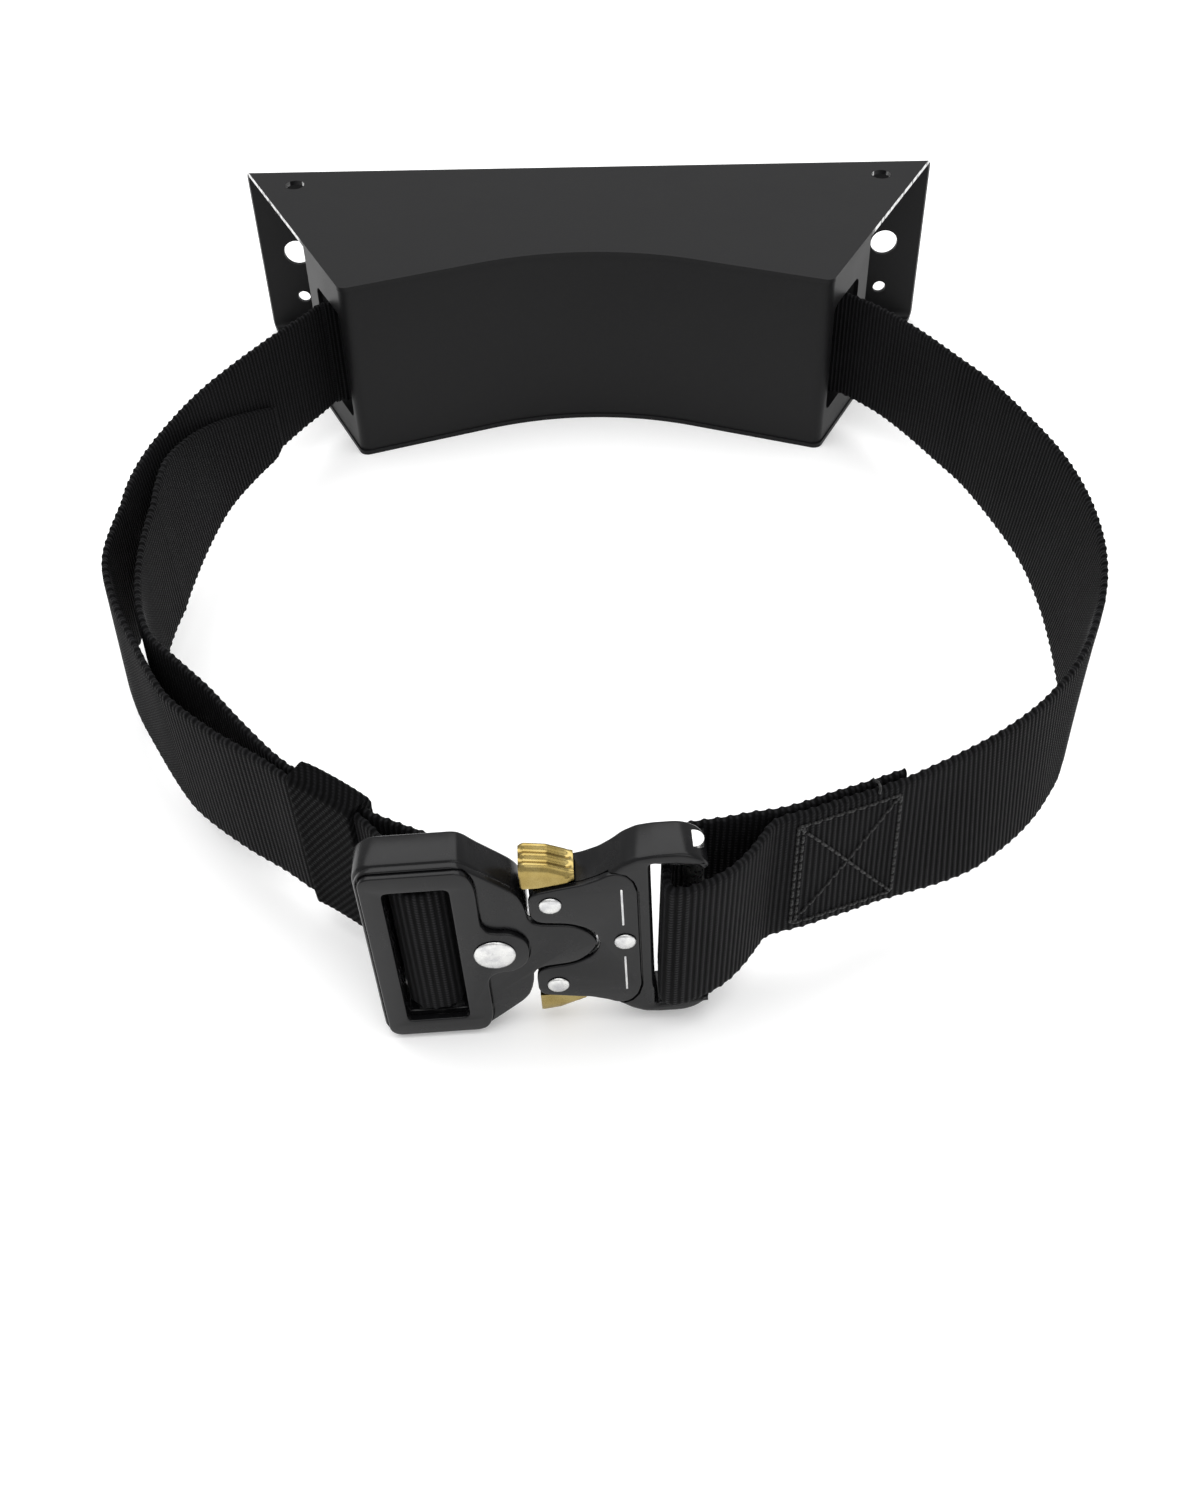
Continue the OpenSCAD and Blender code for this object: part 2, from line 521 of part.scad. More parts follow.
// A coil spring between a lever's arm and the wall of its bay.
module spring() {
  steps = 10;
  length = bay_half - spring_low - spring_wire - 0.6;
  radius = 1.1;
  n = spring_turns * steps;
  r = spring_wire / 2;
  points = [for (i = [0:n]) let (a = 360 * i / steps, y = spring_low + 0.3 + r + length * i / n)
    for (k = [0:5]) let (b = 60 * k, q = radius + r * cos(b))
      [spring_x + q * cos(a), y + r * sin(b), tongue_z + tongue_thick / 2 + q * sin(a)]];
  walls = [for (i = [0:n - 1]) for (k = [0:5]) let (a = 6 * i + k, b = 6 * i + (k + 1) % 6)
    each [[a, b + 6, b], [a, a + 6, b + 6]]];
  polyhedron(points = points, faces = concat(walls, [for (k = [1:4]) [0, k, k + 1]],
    [for (k = [1:4]) [6 * n, 6 * n + k + 1, 6 * n + k]]));
}

module upper_spring() color(steel) placed() spring();
module lower_spring() color(steel) placed() mirror([0, 1, 0]) spring();

wall_channel();
saddle();
strap();
strap_free_end();
strap_keeper();
tongue_frame();
tongue_cover();
tongue_plate();
tongue_rivet();
adjuster_bar();
socket_housing();
socket_front_plate();
socket_bar();
upper_lever();
lower_lever();
upper_lever_rivet();
lower_lever_rivet();
middle_rivet();
upper_spring();
lower_spring();
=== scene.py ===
# %% [markdown]
# # Gas cylinder bracket
#
# A folded steel channel is screwed to a wall. A curved saddle is welded into its open
# front, and a loop of nylon webbing comes out of two slots in the saddle's side returns.
# The loop is closed by a quick-release buckle of cast and plated metal. Everything here
# is in metres, in the frame of the solids: the wall is y = 0, the cylinder stands at -y
# and z is up.

# %% Load the solids
import math

import bmesh
import bpy
from mathutils import Matrix, Vector


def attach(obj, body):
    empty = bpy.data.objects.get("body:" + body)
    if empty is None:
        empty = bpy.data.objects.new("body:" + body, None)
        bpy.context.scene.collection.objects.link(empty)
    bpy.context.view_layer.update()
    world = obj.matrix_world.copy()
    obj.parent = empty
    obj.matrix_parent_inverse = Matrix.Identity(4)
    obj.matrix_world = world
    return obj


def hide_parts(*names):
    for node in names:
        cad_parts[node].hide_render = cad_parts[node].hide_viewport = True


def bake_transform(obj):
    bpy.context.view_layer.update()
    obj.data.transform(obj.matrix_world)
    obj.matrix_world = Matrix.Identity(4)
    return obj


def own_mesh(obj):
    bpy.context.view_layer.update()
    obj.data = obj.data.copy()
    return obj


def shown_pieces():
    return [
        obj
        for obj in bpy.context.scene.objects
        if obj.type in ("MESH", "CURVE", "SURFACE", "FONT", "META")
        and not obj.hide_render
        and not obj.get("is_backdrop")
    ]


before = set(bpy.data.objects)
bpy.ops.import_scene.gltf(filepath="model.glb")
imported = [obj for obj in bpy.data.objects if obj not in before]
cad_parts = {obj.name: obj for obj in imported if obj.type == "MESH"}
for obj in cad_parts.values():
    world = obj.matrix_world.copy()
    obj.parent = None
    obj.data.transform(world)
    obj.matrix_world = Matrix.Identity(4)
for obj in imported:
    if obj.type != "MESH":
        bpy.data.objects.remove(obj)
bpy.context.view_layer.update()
MM = 0.001
node = {o.name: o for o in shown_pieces()}

# %% [markdown]
# ## Sizes
#
# The webbing and the buckle are drawn again from the same few numbers that their solids
# were made from, in millimetres. The real webbing is standard 38 mm strap, so its width
# sets the buckle's size and the height of the slots. Towards the buckle it is drawn a
# little taller, and past the socket it hangs a little lower.

# %% Sizes of the bracket, the webbing and the buckle
DEPTH, FRONT_WIDTH, WIDTH, HEIGHT, SHEET = 84.0, 154.0, 240.0, 63.5, 1.5
WEB_WIDTH, WEB_THICK, LAYER_GAP, SEWN = 38.0, 2.0, 0.4, 50.0
REACH, BULGE, TURN, ROLL = 301.0, 50.0, math.radians(3), math.radians(1.5)
FRAME_HALF, FRAME_LEFT, FRAME_RIGHT, FRAME_ROUND = 29.5, 47.2, 11.4, 5.0
FACE, COVER, PLATE, RUNNING, TONGUE_THICK = 10.0, 1.2, 1.5, 0.3, 3.0
TONGUE_LOW = FACE - PLATE - RUNNING - TONGUE_THICK
WINDOW_LEFT, WINDOW_WIDTH, WINDOW_HALF = 41.2, 14.2, 23.0
MOUTH, MOUTH_HALF, ARM_HALF, SOCKET_HALF = 10.8, 18.0, 28.0, 25.0
SLOT_LEFT, BAR_MIDDLE, SOCKET_END, PLATE_END = 15.6, 25.0, 28.5, 12.6
NOTCH_HALF, NOTCH_TIP, NOTCH_GAP, SEAM = 7.8, 3.9, 0.4, 0.3
BIG_RIVET, MIDDLE_RIVET, PIVOT_LEFT, PIVOT_HEIGHT = 19.3, 9.4, 6.2, 14.2
SPRING_X, SPRING_FOOT, SPRING_TOP = 3.8, 13.3, 16.0
TAIL_CUT, KEEPER_WALL, KEEPER_CLEAR = 62.0, 1.2, 0.3
RIB, RIB_DEPTH, SLEEVE_RIB, SLEEVE_SLANT = 1.45, 0.34, 1.9, -0.85
FLOOR = -HEIGHT / 2 * MM
BUCKLE_Z = (-HEIGHT / 2 + (FRAME_LEFT - FRAME_ROUND) * math.sin(ROLL)
            + (FRAME_HALF - FRAME_ROUND) * math.cos(ROLL) + FRAME_ROUND)
CORNER = Vector((FRONT_WIDTH / 2, -DEPTH))
EDGE = (Vector((WIDTH / 2, 0)) - CORNER).normalized()
EDGE_OUT = Vector((EDGE.y, -EDGE.x))
SLOT_MID = CORNER + 16 * EDGE - (0.4 + SHEET / 2) * EDGE_OUT
print("buckle's middle line at z =", round(BUCKLE_Z, 2), "mm")

# %% [markdown]
# ## The webbing's path
#
# The strap stands on edge, so its route is a curve in plan. It runs from slot to slot
# behind the saddle, round the right side to the socket's bar, where it is folded back and
# sewn. On the left it goes through a keeper sleeve, round the buckle's adjuster bar and
# back inside the loop as the free end. The loop is slack, so it leans out a little in
# places, and near the buckle it takes the buckle's slight roll.


# %% Curve helpers in plan
def spline(points, steps):
    """A smooth curve through the points, as in the solids."""
    last = len(points) - 1
    out = []
    for i in range(last):
        a, b, c, d = (Vector(points[min(last, max(0, i + k))]) for k in (-1, 0, 1, 2))
        for k in range(steps):
            t = k / steps
            out.append(0.5 * (2 * b + (c - a) * t + (2 * a - 5 * b + 4 * c - d) * t * t
                              + (3 * b - a - 3 * c + d) * t ** 3))
    return out + [Vector(points[-1])]


def beside(points, distance):
    """The same curve moved to the right of its heading."""
    last = len(points) - 1
    out = []
    for i, p in enumerate(points):
        u = (Vector(points[min(last, i + 1)]) - Vector(points[max(0, i - 1)])).normalized()
        out.append(Vector(p) + distance * Vector((u.y, -u.x)))
    return out


def flip(points):
    """The curve's mirror image, left for right."""
    return [Vector((-p[0], p[1])) for p in points]


def loop(shares):
    """Points on the loop, by their share of the bulge and of the reach."""
    return [Vector((SLOT_MID.x + a * BULGE, SLOT_MID.y + (-REACH - SLOT_MID.y) * b)) for a, b in shares]


def near(u, z):
    """Plan of a point given on the buckle, along it and out of its back plane."""
    return Vector((u * math.cos(TURN) + z * math.sin(TURN),
                   -REACH + u * math.sin(TURN) - z * math.cos(TURN)))


def on_buckle(points):
    return [near(u, z) for u, z in points]


def resample(points, step):
    """Points a fixed distance apart along the curve."""
    out, left = [points[0].copy()], step
    for a, b in zip(points, points[1:]):
        span = (b - a).length
        done = 0.0
        while span - done >= left:
            done += left
            out.append(a.lerp(b, done / span))
            left = step
        left -= span - done
    return out


def smooth(t):
    t = min(1.0, max(0.0, t))
    return t * t * (3 - 2 * t)


print("slot middle at", [round(v, 2) for v in SLOT_MID])

# %% The strap, the free end and the keeper's run
right_loop = beside(loop([
    (0.13, 0.018), (0.28, 0.057), (0.42, 0.106), (0.574, 0.17), (0.714, 0.231), (0.854, 0.322),
    (0.934, 0.392), (0.966, 0.464), (0.966, 0.535), (0.94, 0.61), (0.894, 0.67), (0.8, 0.74),
    (0.64, 0.79), (0.484, 0.826), (0.3, 0.858), (0.1, 0.886)]), WEB_THICK / 2)
sewn_outer = [(BAR_MIDDLE + SEWN * a, SEWN * b) for a, b in
              ((1.02, -0.324), (0.894, -0.276), (0.69, -0.192), (0.546, -0.132), (0.42, -0.098))]
sewn_inner = beside(on_buckle(sewn_outer), WEB_THICK + LAYER_GAP)[::-1]
BAR_HIGH = FACE / 2 - 0.25
socket_wrap = [(BAR_MIDDLE + a, b) for a, b in (
    (18, -3.4), (15.6, -0.2), (12.7, 3.6), (9, 7.4), (5.2, FACE), (1, FACE + 1.9), (-2.4, FACE + 3),
    (-5.2, FACE + 2.6), (-6.1, FACE + 0.5), (-6, FACE - 3), (-5.8, BAR_HIGH), (-5.5, 0.4),
    (-4.6, -2.6), (-2.4, -4.5), (2.3, -5.2), (8, -5.7), (14, -6.6))]
touch_x = 105 * math.sin(math.radians(19.5))
arc_y = (-DEPTH + (FRONT_WIDTH / 2 - touch_x) * math.tan(math.radians(19.5))
         - 105 * math.cos(math.radians(19.5)))
inner_middle = arc_y + 105 + 0.4 + SHEET + WEB_THICK / 2 + 0.6
inner_run = []
for k in range(13):
    x = (-0.9 + 0.15 * k) * SLOT_MID.x
    y = inner_middle + (SLOT_MID.y - inner_middle) * (abs(x) / SLOT_MID.x) ** 1.25
    inner_run.append(Vector((x, y)))
slot_out = Vector((math.cos(math.radians(22)), -math.sin(math.radians(22))))
strap_join = flip([SLOT_MID + 2.2 * slot_out])[0]
strap_path = ([strap_join, flip([SLOT_MID])[0]] + inner_run + [SLOT_MID] + right_loop
              + on_buckle(sewn_outer) + on_buckle(socket_wrap) + sewn_inner)

BAR_X = -WINDOW_LEFT + WINDOW_WIDTH / 2
join_out = Vector((-slot_out.x, slot_out.y))
left_loop = beside(flip(loop([
    (0.16, 0.034), (0.274, 0.075), (0.454, 0.149), (0.634, 0.231), (0.784, 0.325), (0.868, 0.405),
    (0.9, 0.483), (0.884, 0.557), (0.768, 0.626), (0.594, 0.696), (0.426, 0.759), (0.294, 0.796),
    (0.054, 0.841), (-0.178, 0.876)])), -WEB_THICK / 2)
keeper_run = on_buckle([(BAR_X - 12.6 + 23.5 * a, -12.6 + 23.5 * b) for a, b in
                        ((-0.783, -0.621), (-0.587, -0.498), (-0.374, -0.336), (-0.162, -0.157), (0, 0))])
to_bar = on_buckle([(BAR_X - 8.2, -6.6), (BAR_X - 6.4, -2.4), (BAR_X - 5.8, 1.4)])
bar_wrap = []
for k in range(10):
    a = math.radians(178 + (-16 - 178) * k / 9)
    bar_wrap.append(near(BAR_X + 5.7 * math.cos(a), FACE / 2 + 0.2 + 4.1 * math.sin(a)))
from_bar = on_buckle([(BAR_X + 5.8, 0.6), (BAR_X + 5.2, -3), (BAR_X + 2.2, -6.6), (BAR_X - 3.6, -9.9)])
tail_loop = beside(flip(loop([
    (-0.25, 0.861), (-0.066, 0.816), (0.12, 0.768), (0.314, 0.724), (0.47, 0.688), (0.56, 0.65),
    (0.62, 0.606), (0.66, 0.555), (0.68, 0.505), (0.684, 0.444), (0.666, 0.383), (0.63, 0.318),
    (0.57, 0.253), (0.458, 0.19), (0.314, 0.127)])), -WEB_THICK / 2)
free_path = ([strap_join + 0.3 * join_out, strap_join + 1.5 * join_out] + left_loop + keeper_run
             + to_bar + bar_wrap + from_bar + beside(keeper_run, -WEB_THICK - LAYER_GAP)[::-1]
             + tail_loop)
print("control points:", len(strap_path), "strap,", len(free_path), "free end")

# %% The height, roll and lean of the webbing
LEAN_RIGHT = [(0, 0), (0.15, 0.06), (0.35, 0.13), (0.5, 0.19), (0.62, 0.15), (0.7, 0.03),
              (0.82, -0.06), (0.93, -0.12), (1, 0)]
LEAN_LEFT = [(0, 0), (0.2, 0.09), (0.4, 0.06), (0.52, -0.07), (0.66, -0.06), (0.8, 0), (1, 0)]
LOOP_MIDDLE = Vector((0, -0.61 * REACH))
TALLER, LOWER, SKEW = 0.1, 1.7, 0.045


def lookup(t, table):
    """The table's value at t, straight between its entries."""
    if t <= table[0][0]:
        return table[0][1]
    for (t0, v0), (t1, v1) in zip(table, table[1:]):
        if t <= t1:
            return v0 + (v1 - v0) * (t - t0) / (t1 - t0)
    return table[-1][1]


def eased(t, table):
    """The table's value at t with its corners smoothed, as webbing bends gently."""
    return sum(lookup(t + k * 0.03, table) for k in range(-2, 3)) / 5


def placed_on_edge(p, normal, d, h):
    """Where a point of the webbing stands: d out from its middle layer and h up."""
    share = smooth((SLOT_MID.y - p.y) / (REACH * 0.6))
    level = share * (BUCKLE_Z + math.sin(ROLL) * max(-FRAME_LEFT, min(FRAME_LEFT, p.x)))
    t = (SLOT_MID.y - p.y) / (SLOT_MID.y + REACH)
    outside = smooth((abs(p.x) - 68) / 25)
    k = outside * eased(t, LEAN_RIGHT if p.x > 0 else LEAN_LEFT)
    away = (p - LOOP_MIDDLE).normalized()
    roll_lean = -math.sin(ROLL) * share * Vector((math.cos(TURN), math.sin(TURN)))
    past_socket = smooth((p.x - 50) / 20)
    h = h * (1 + TALLER * share) - LOWER * share * past_socket
    q = p + d * normal + h * roll_lean + (k * h + abs(k) * WEB_WIDTH / 2) * away
    at_bar = smooth((p.x - 12) / 5) * smooth((62 - p.x) / 25) * smooth((-p.y / REACH - 0.9) / 0.05)
    q.x += SKEW * (h - WEB_WIDTH / 2) * at_bar
    return Vector((q.x, q.y, level + h)) * MM


def as_object(name, bm, finish):
    """The mesh as a new object in the scene, with its material."""
    mesh = bpy.data.meshes.new(name)
    bm.to_mesh(mesh)
    bm.free()
    mesh.materials.append(finish)
    o = bpy.data.objects.new(name, mesh)
    bpy.context.scene.collection.objects.link(o)
    return o


print("lean on the right:", eased(0.5, LEAN_RIGHT), "on the left:", eased(0.5, LEAN_LEFT))

# %% [markdown]
# ## Materials
#
# Every finish is made from nodes. A small class wraps a shader socket, so that a pattern
# reads like ordinary arithmetic.


# %% Sockets that work like numbers
class Wire:
    """A shader socket that can be added, multiplied and compared like a number."""

    def __init__(self, tree, socket=None):
        self.tree = tree
        self.socket = socket

    def node(self, kind, settings=None, values=None, output=0):
        """Any node: its type, its settings, its sockets' values or wires, its output."""
        made = self.tree.nodes.new(kind)
        for name, value in (settings or {}).items():
            setattr(made, name, value)
        for key, value in (values or {}).items():
            if isinstance(value, Wire):
                self.tree.links.new(value.socket, made.inputs[key])
            else:
                made.inputs[key].default_value = value
        return Wire(self.tree, made.outputs[output])

    def maths(self, kind, *terms, clamp=False):
        values = {k: v for k, v in enumerate(terms)}
        return self.node("ShaderNodeMath", {"operation": kind, "use_clamp": clamp}, values)

    def __add__(self, other):
        return self.maths("ADD", self, other)

    __radd__ = __add__

    def __mul__(self, other):
        return self.maths("MULTIPLY", self, other)

    __rmul__ = __mul__

    def __sub__(self, other):
        return self.maths("SUBTRACT", self, other)

    def __rsub__(self, other):
        return self.maths("SUBTRACT", other, self)

    def __gt__(self, other):
        return self.maths("GREATER_THAN", self, other)

    def __lt__(self, other):
        return self.maths("LESS_THAN", self, other)

    def sine(self):
        return self.maths("SINE", self)

    def size(self):
        return self.maths("ABSOLUTE", self)

    def ramp(self, low, high, start=0.0, end=1.0):
        """From start to end as the value goes from low to high, and flat outside."""
        return self.node("ShaderNodeMapRange", {"interpolation_type": "SMOOTHSTEP"},
                         {0: self, 1: low, 2: high, 3: start, 4: end})

    def mix(self, first, second):
        """The first colour where the value is 0 and the second where it is 1."""
        return self.node("ShaderNodeMix", {"data_type": "RGBA"}, {0: self, 6: first, 7: second}, 2)

    def noise(self, scale, detail=2.0, rough=0.5):
        values = {"Vector": self.place(), "Scale": scale, "Detail": detail, "Roughness": rough}
        return self.node("ShaderNodeTexNoise", None, values)

    def place(self, output="Object"):
        return self.node("ShaderNodeTexCoord", output=output)

    def split(self, vector):
        made = self.tree.nodes.new("ShaderNodeSeparateXYZ")
        self.tree.links.new(vector.socket, made.inputs[0])
        return [Wire(self.tree, s) for s in made.outputs]

    def bump(self, distance, strength=1.0):
        values = {"Height": self, "Distance": distance, "Strength": strength}
        return self.node("ShaderNodeBump", None, values)


def grey(v, blue=0.0):
    return (v, v, v * (1 + blue), 1.0)


def material(name, **constants):
    """A new material, a wire to build on and the function that finishes it."""
    m = bpy.data.materials.new(name)
    m.use_nodes = True
    shader = m.node_tree.nodes["Principled BSDF"]
    for key, value in constants.items():
        shader.inputs[key.replace("_", " ")].default_value = value

    def connect(**wires):
        for key, wire in wires.items():
            m.node_tree.links.new(wire.socket, shader.inputs[key.replace("_", " ")])
        print("material", name, len(m.node_tree.nodes), "nodes")
        return m

    return Wire(m.node_tree), connect


# %% [markdown]
# The sheet is powder coated: a thin plastic skin with a fine orange peel, a little cloudy
# in its gloss. Along the slanted flange edges, where the thin-coated cut edges catch the
# light, a painted highlight of bright metal is laid into the colour.


# %% Powder coat with a painted highlight on the flange edges
w, connect = material("powder_coat", Specular_IOR_Level=0.14)
x, y, z = w.split(w.place())
nx, ny, nz = w.split(w.node("ShaderNodeNewGeometry", output="Normal"))
# painted highlight: bright metal colour on the outward faces of the slanted top-flange edges near the
# wall, broken up by noise
facing = (nx.size() * EDGE_OUT.x + ny * EDGE_OUT.y).ramp(0.9, 0.97)
high = (z > (HEIGHT / 2 - SHEET) * MM) * (nz.size() < 0.5)
back = y.ramp(-0.0535, -0.049)
broken = w.noise(420, 4).ramp(0.3, 0.52)
painted_edge_highlight = facing * high * back * broken
peel = w.noise(1500, 2)
cloud = w.noise(28, 3)
dust = w.noise(2600, 1).ramp(0.66, 0.8)
paint = cloud.mix(grey(0.0075, 0.06), grey(0.0105, 0.06))
paint = (dust * 0.25).mix(paint, grey(0.03))
coat = connect(
    Base_Color=painted_edge_highlight.mix(paint, grey(0.62)),
    Metallic=painted_edge_highlight * 0.9,
    Roughness=painted_edge_highlight.ramp(0, 1, 0, -0.12) + cloud.ramp(0.3, 0.7, 0.42, 0.5),
    Normal=(peel * 0.7 + cloud * 2).bump(0.00004, 0.55))

# %% [markdown]
# The webbing is nylon, woven with a heavy weft, so that fine ribs cross its width. The ribs
# themselves are in the mesh. The threads on them are finer than a mesh should carry,
# and go into the bump: rows of warp threads that pass over and under the ribs in turn.

# %% Ribbed nylon webbing
def webbing(name, slant, pitch, light, gloss):
    """Woven nylon whose ribs run on the slant, with a painted highlight on their crests and painted shade
    between them.
    """
    w, connect = material(name, Sheen_Weight=0.01, Sheen_Roughness=0.5, Specular_IOR_Level=gloss)
    s, h, _ = w.split(w.place("UV"))
    turn = (s + h * slant) * (2 * math.pi / (pitch * MM))
    crest = (turn + math.pi / 2).sine() * 0.5 + 0.5
    strand = ((h * (2 * math.pi / (0.8 * MM))) + turn * 0.5).sine() * 0.5 + 0.5
    fuzz = w.noise(5200, 3)
    worn = w.noise(45, 3).ramp(0.35, 0.75)
    # painted highlight on the rib crests and painted shade in the valleys between them; the next line
    # adds lighter random wear and fuzz
    rib_light_and_wear = (crest * (strand * 0.35 + 0.65)).ramp(0.15, 0.95).mix(grey(0.001, 0.1), grey(light, 0.12))
    rib_light_and_wear = (worn * 0.2 + fuzz.ramp(0.5, 0.75) * 0.25).mix(rib_light_and_wear, grey(1.5 * light, 0.1))
    return connect(
        Base_Color=rib_light_and_wear,
        Roughness=crest.ramp(0, 1, 0.9, 0.6),
        Normal=(crest * 0.8 + strand * crest * 0.5 + fuzz * 0.4).bump(0.0003, 0.8))


web = webbing("ribbed_nylon", 0.0, RIB, light=0.0085, gloss=0.08)
sleeve = webbing("diagonal_nylon", SLEEVE_SLANT, SLEEVE_RIB, light=0.0045, gloss=0.04)

w, connect = material("sewing_thread", Sheen_Weight=0.05, Specular_IOR_Level=0.3)
ply = (w.split(w.place("UV"))[0] * 5200).sine()
thread_black = connect(
    Base_Color=ply.ramp(-1, 1).mix(grey(0.004), grey(0.016)),
    Roughness=ply.ramp(-1, 1, 0.7, 0.45),
    Normal=ply.bump(0.00006))

# %% [markdown]
# The buckle's cast and stamped pieces have a harder, smoother black finish. It is rubbed
# a little brighter and smoother where hands and webbing touch it. The rivets are zinc
# plated and the levers carry a yellow passivated finish that looks like brass.

# %% Buckle finishes
w, connect = material("buckle_black", Specular_IOR_Level=0.24)
cloud = w.noise(90, 4)
grain = w.noise(3800, 2)
rub = w.noise(260, 5, rough=0.65).ramp(0.5, 0.72)
buckle_black = connect(
    Base_Color=(rub * 0.5 + cloud * 0.3).mix(grey(0.0045, 0.1), grey(0.0095, 0.1)),
    Roughness=cloud.ramp(0.3, 0.7, 0.19, 0.27) + rub * 0.06,
    Normal=(grain * 0.6 + cloud * 3).bump(0.00003, 0.5))

w, connect = material("zinc_plate", Metallic=1.0, Specular_IOR_Level=0.5)
spangle = w.noise(1500, 3)
smear = w.noise(320, 4).ramp(0.35, 0.7)
zinc = connect(
    Base_Color=smear.mix(grey(0.7, -0.02), grey(0.5, 0.02)),
    Roughness=spangle.ramp(0.3, 0.7, 0.24, 0.42),
    Normal=spangle.bump(0.00003, 0.5))

w, connect = material("yellow_passivate", Metallic=1.0, Specular_IOR_Level=0.5)
bloom = w.noise(150, 3).ramp(0.3, 0.7)
drawn = w.noise(1800, 2)
brass = connect(
    Base_Color=bloom.mix((0.3, 0.22, 0.07, 1), (0.42, 0.33, 0.13, 1)),
    Roughness=drawn.ramp(0.3, 0.7, 0.24, 0.32),
    Normal=drawn.bump(0.000012, 0.5))

w, connect = material("white_floor", Specular_IOR_Level=0.2, Emission_Color=(1, 1, 1, 1),
                      Emission_Strength=0.16)
floor_white = connect(
    Base_Color=w.noise(3, 2).mix(grey(0.93), grey(0.95)),
    Roughness=w.noise(5, 2).ramp(0.3, 0.7, 0.8, 0.9))

# %% [markdown]
# ## The camera
#
# It looks down on the bracket from in front of the buckle, at arm's length.

# %% Camera
camera = bpy.data.objects.new("camera", bpy.data.cameras.new("camera"))
bpy.context.scene.collection.objects.link(camera)
bpy.context.scene.camera = camera
pan, tilt, roll = -0.021, 0.744, -0.028
ahead = Vector((math.sin(pan) * math.cos(tilt), math.cos(pan) * math.cos(tilt), -math.sin(tilt)))
level_right = Vector((math.cos(pan), -math.sin(pan), 0))
level_up = level_right.cross(ahead)
right = level_right * math.cos(roll) + level_up * math.sin(roll)
up = level_up * math.cos(roll) - level_right * math.sin(roll)
pose = Matrix((right, up, -ahead)).transposed().to_4x4()
pose.translation = Vector((0.010578, -0.522259, 0.281036))
camera.matrix_world = pose
camera.data.sensor_fit = "VERTICAL"
camera.data.sensor_height = 36
camera.data.lens = 37.92
camera.data.shift_y = -0.0669
camera.data.clip_start = 0.01
print("camera at", [round(v, 3) for v in pose.translation], "lens", camera.data.lens)

# %% [markdown]
# ## The bracket
#
# The channel and the saddle are the solids themselves, with the small radius that the
# powder coat gives every cut edge.

# %% Channel and saddle
for name in ("wall_channel", "saddle"):
    o = node[name]
    o.data.materials.clear()
    o.data.materials.append(coat)
    bevel = o.modifiers.new("coated edges", "BEVEL")
    bevel.width = 0.35 * MM
    bevel.segments = 2
    bevel.limit_method = "ANGLE"
    bevel.angle_limit = math.radians(40)
    bevel.harden_normals = True
    for polygon in o.data.polygons:
        polygon.use_smooth = True
    print(name, "keeps its", len(o.data.polygons), "faces")

# %% [markdown]
# ## The webbing
#
# Webbing is woven flat with two round selvedges. It is built as a band that follows its
# path in plan, with a ring of points for each quarter of a rib, so that the ribs and the
# scalloped selvedges are real. The free end is cut on a slant and its corners are melted
# round.


# %% The woven band
def section(thick, tall):
    """The outline of the webbing's cross-section: how far out, how high, rib depth."""
    side = [(0.62, -0.493), (0.9, -0.478), (1, -0.44), (1, -0.29), (1, -0.14), (1, 0), (1, 0.14),
            (1, 0.29), (1, 0.44), (0.9, 0.478), (0.62, 0.493)]
    front = [(a * thick / 2, b * tall) for a, b in side]
    rear = [(-a, b) for a, b in reversed(front)]
    return front + [(0, tall / 2)] + rear + [(0, -tall / 2)]


def heading(curve, i):
    """The sideways direction of the webbing's face at a point of its path."""
    u = (curve[min(len(curve) - 1, i + 1)] - curve[max(0, i - 1)]).normalized()
    return Vector((u.y, -u.x))


def skin(bm, rings):
    """Faces between each ring of points and the next."""
    for a, b in zip(rings, rings[1:]):
        for j in range(len(a)):
            k = (j + 1) % len(a)
            bm.faces.new((a[j], a[k], b[k], b[j]))


def unroll(bm, uv, flat):
    """Each point's place on the flat webbing, as the weave needs it."""
    for f in bm.faces:
        f.smooth = True
        for corner in f.loops:
            corner[uv].uv = flat[corner.vert]
    bmesh.ops.recalc_face_normals(bm, faces=bm.faces)


def band(name, path, cut=0.0, steps=4):
    """A band of webbing on edge along the path, its last part cut on a slant."""
    curve = resample(spline(path, 12), RIB / steps)
    ring = section(WEB_THICK, WEB_WIDTH)
    half = WEB_WIDTH / 2
    total = RIB / steps * (len(curve) - 1)
    bm = bmesh.new()
    uv = bm.loops.layers.uv.new("UV")
    rings, flat = [], {}
    for i, p in enumerate(curve):
        normal = heading(curve, i)
        s = i * RIB / steps
        left = total - s
        high = half - (WEB_WIDTH * 0.55 * max(0.0, 1 - left / cut) ** 1.3 if cut else 0.0)
        low = (WEB_WIDTH * 0.08 * max(0.0, 1 - left / 6) ** 2 if cut else 0.0) - half
        wave = 0.5 - 0.5 * math.cos(2 * math.pi * s / RIB)
        scallop = 0.5 - 0.5 * math.cos(math.pi * s / RIB)
        row = []
        for d, h in ring:
            d2 = d - math.copysign(min(abs(d), RIB_DEPTH * wave * 0.5), d)
            h2 = h * (1 - 0.024 * scallop) if abs(h) > 0.9 * half else h
            h2 = low + (h2 + half) / WEB_WIDTH * (high - low)
            v = bm.verts.new(placed_on_edge(p, normal, d2, h2))
            flat[v] = (s * MM, h2 * MM)
            row.append(v)
        rings.append(row)
    skin(bm, rings)
    bm.faces.new(list(reversed(rings[0])))
    bm.faces.new(rings[-1])
    unroll(bm, uv, flat)
    print(name, round(total), "mm long,", len(curve), "rings")
    return as_object(name, bm, web)


main_strap = band("webbing_strap", strap_path)
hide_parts("strap")
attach(main_strap, "bracket_and_socket")

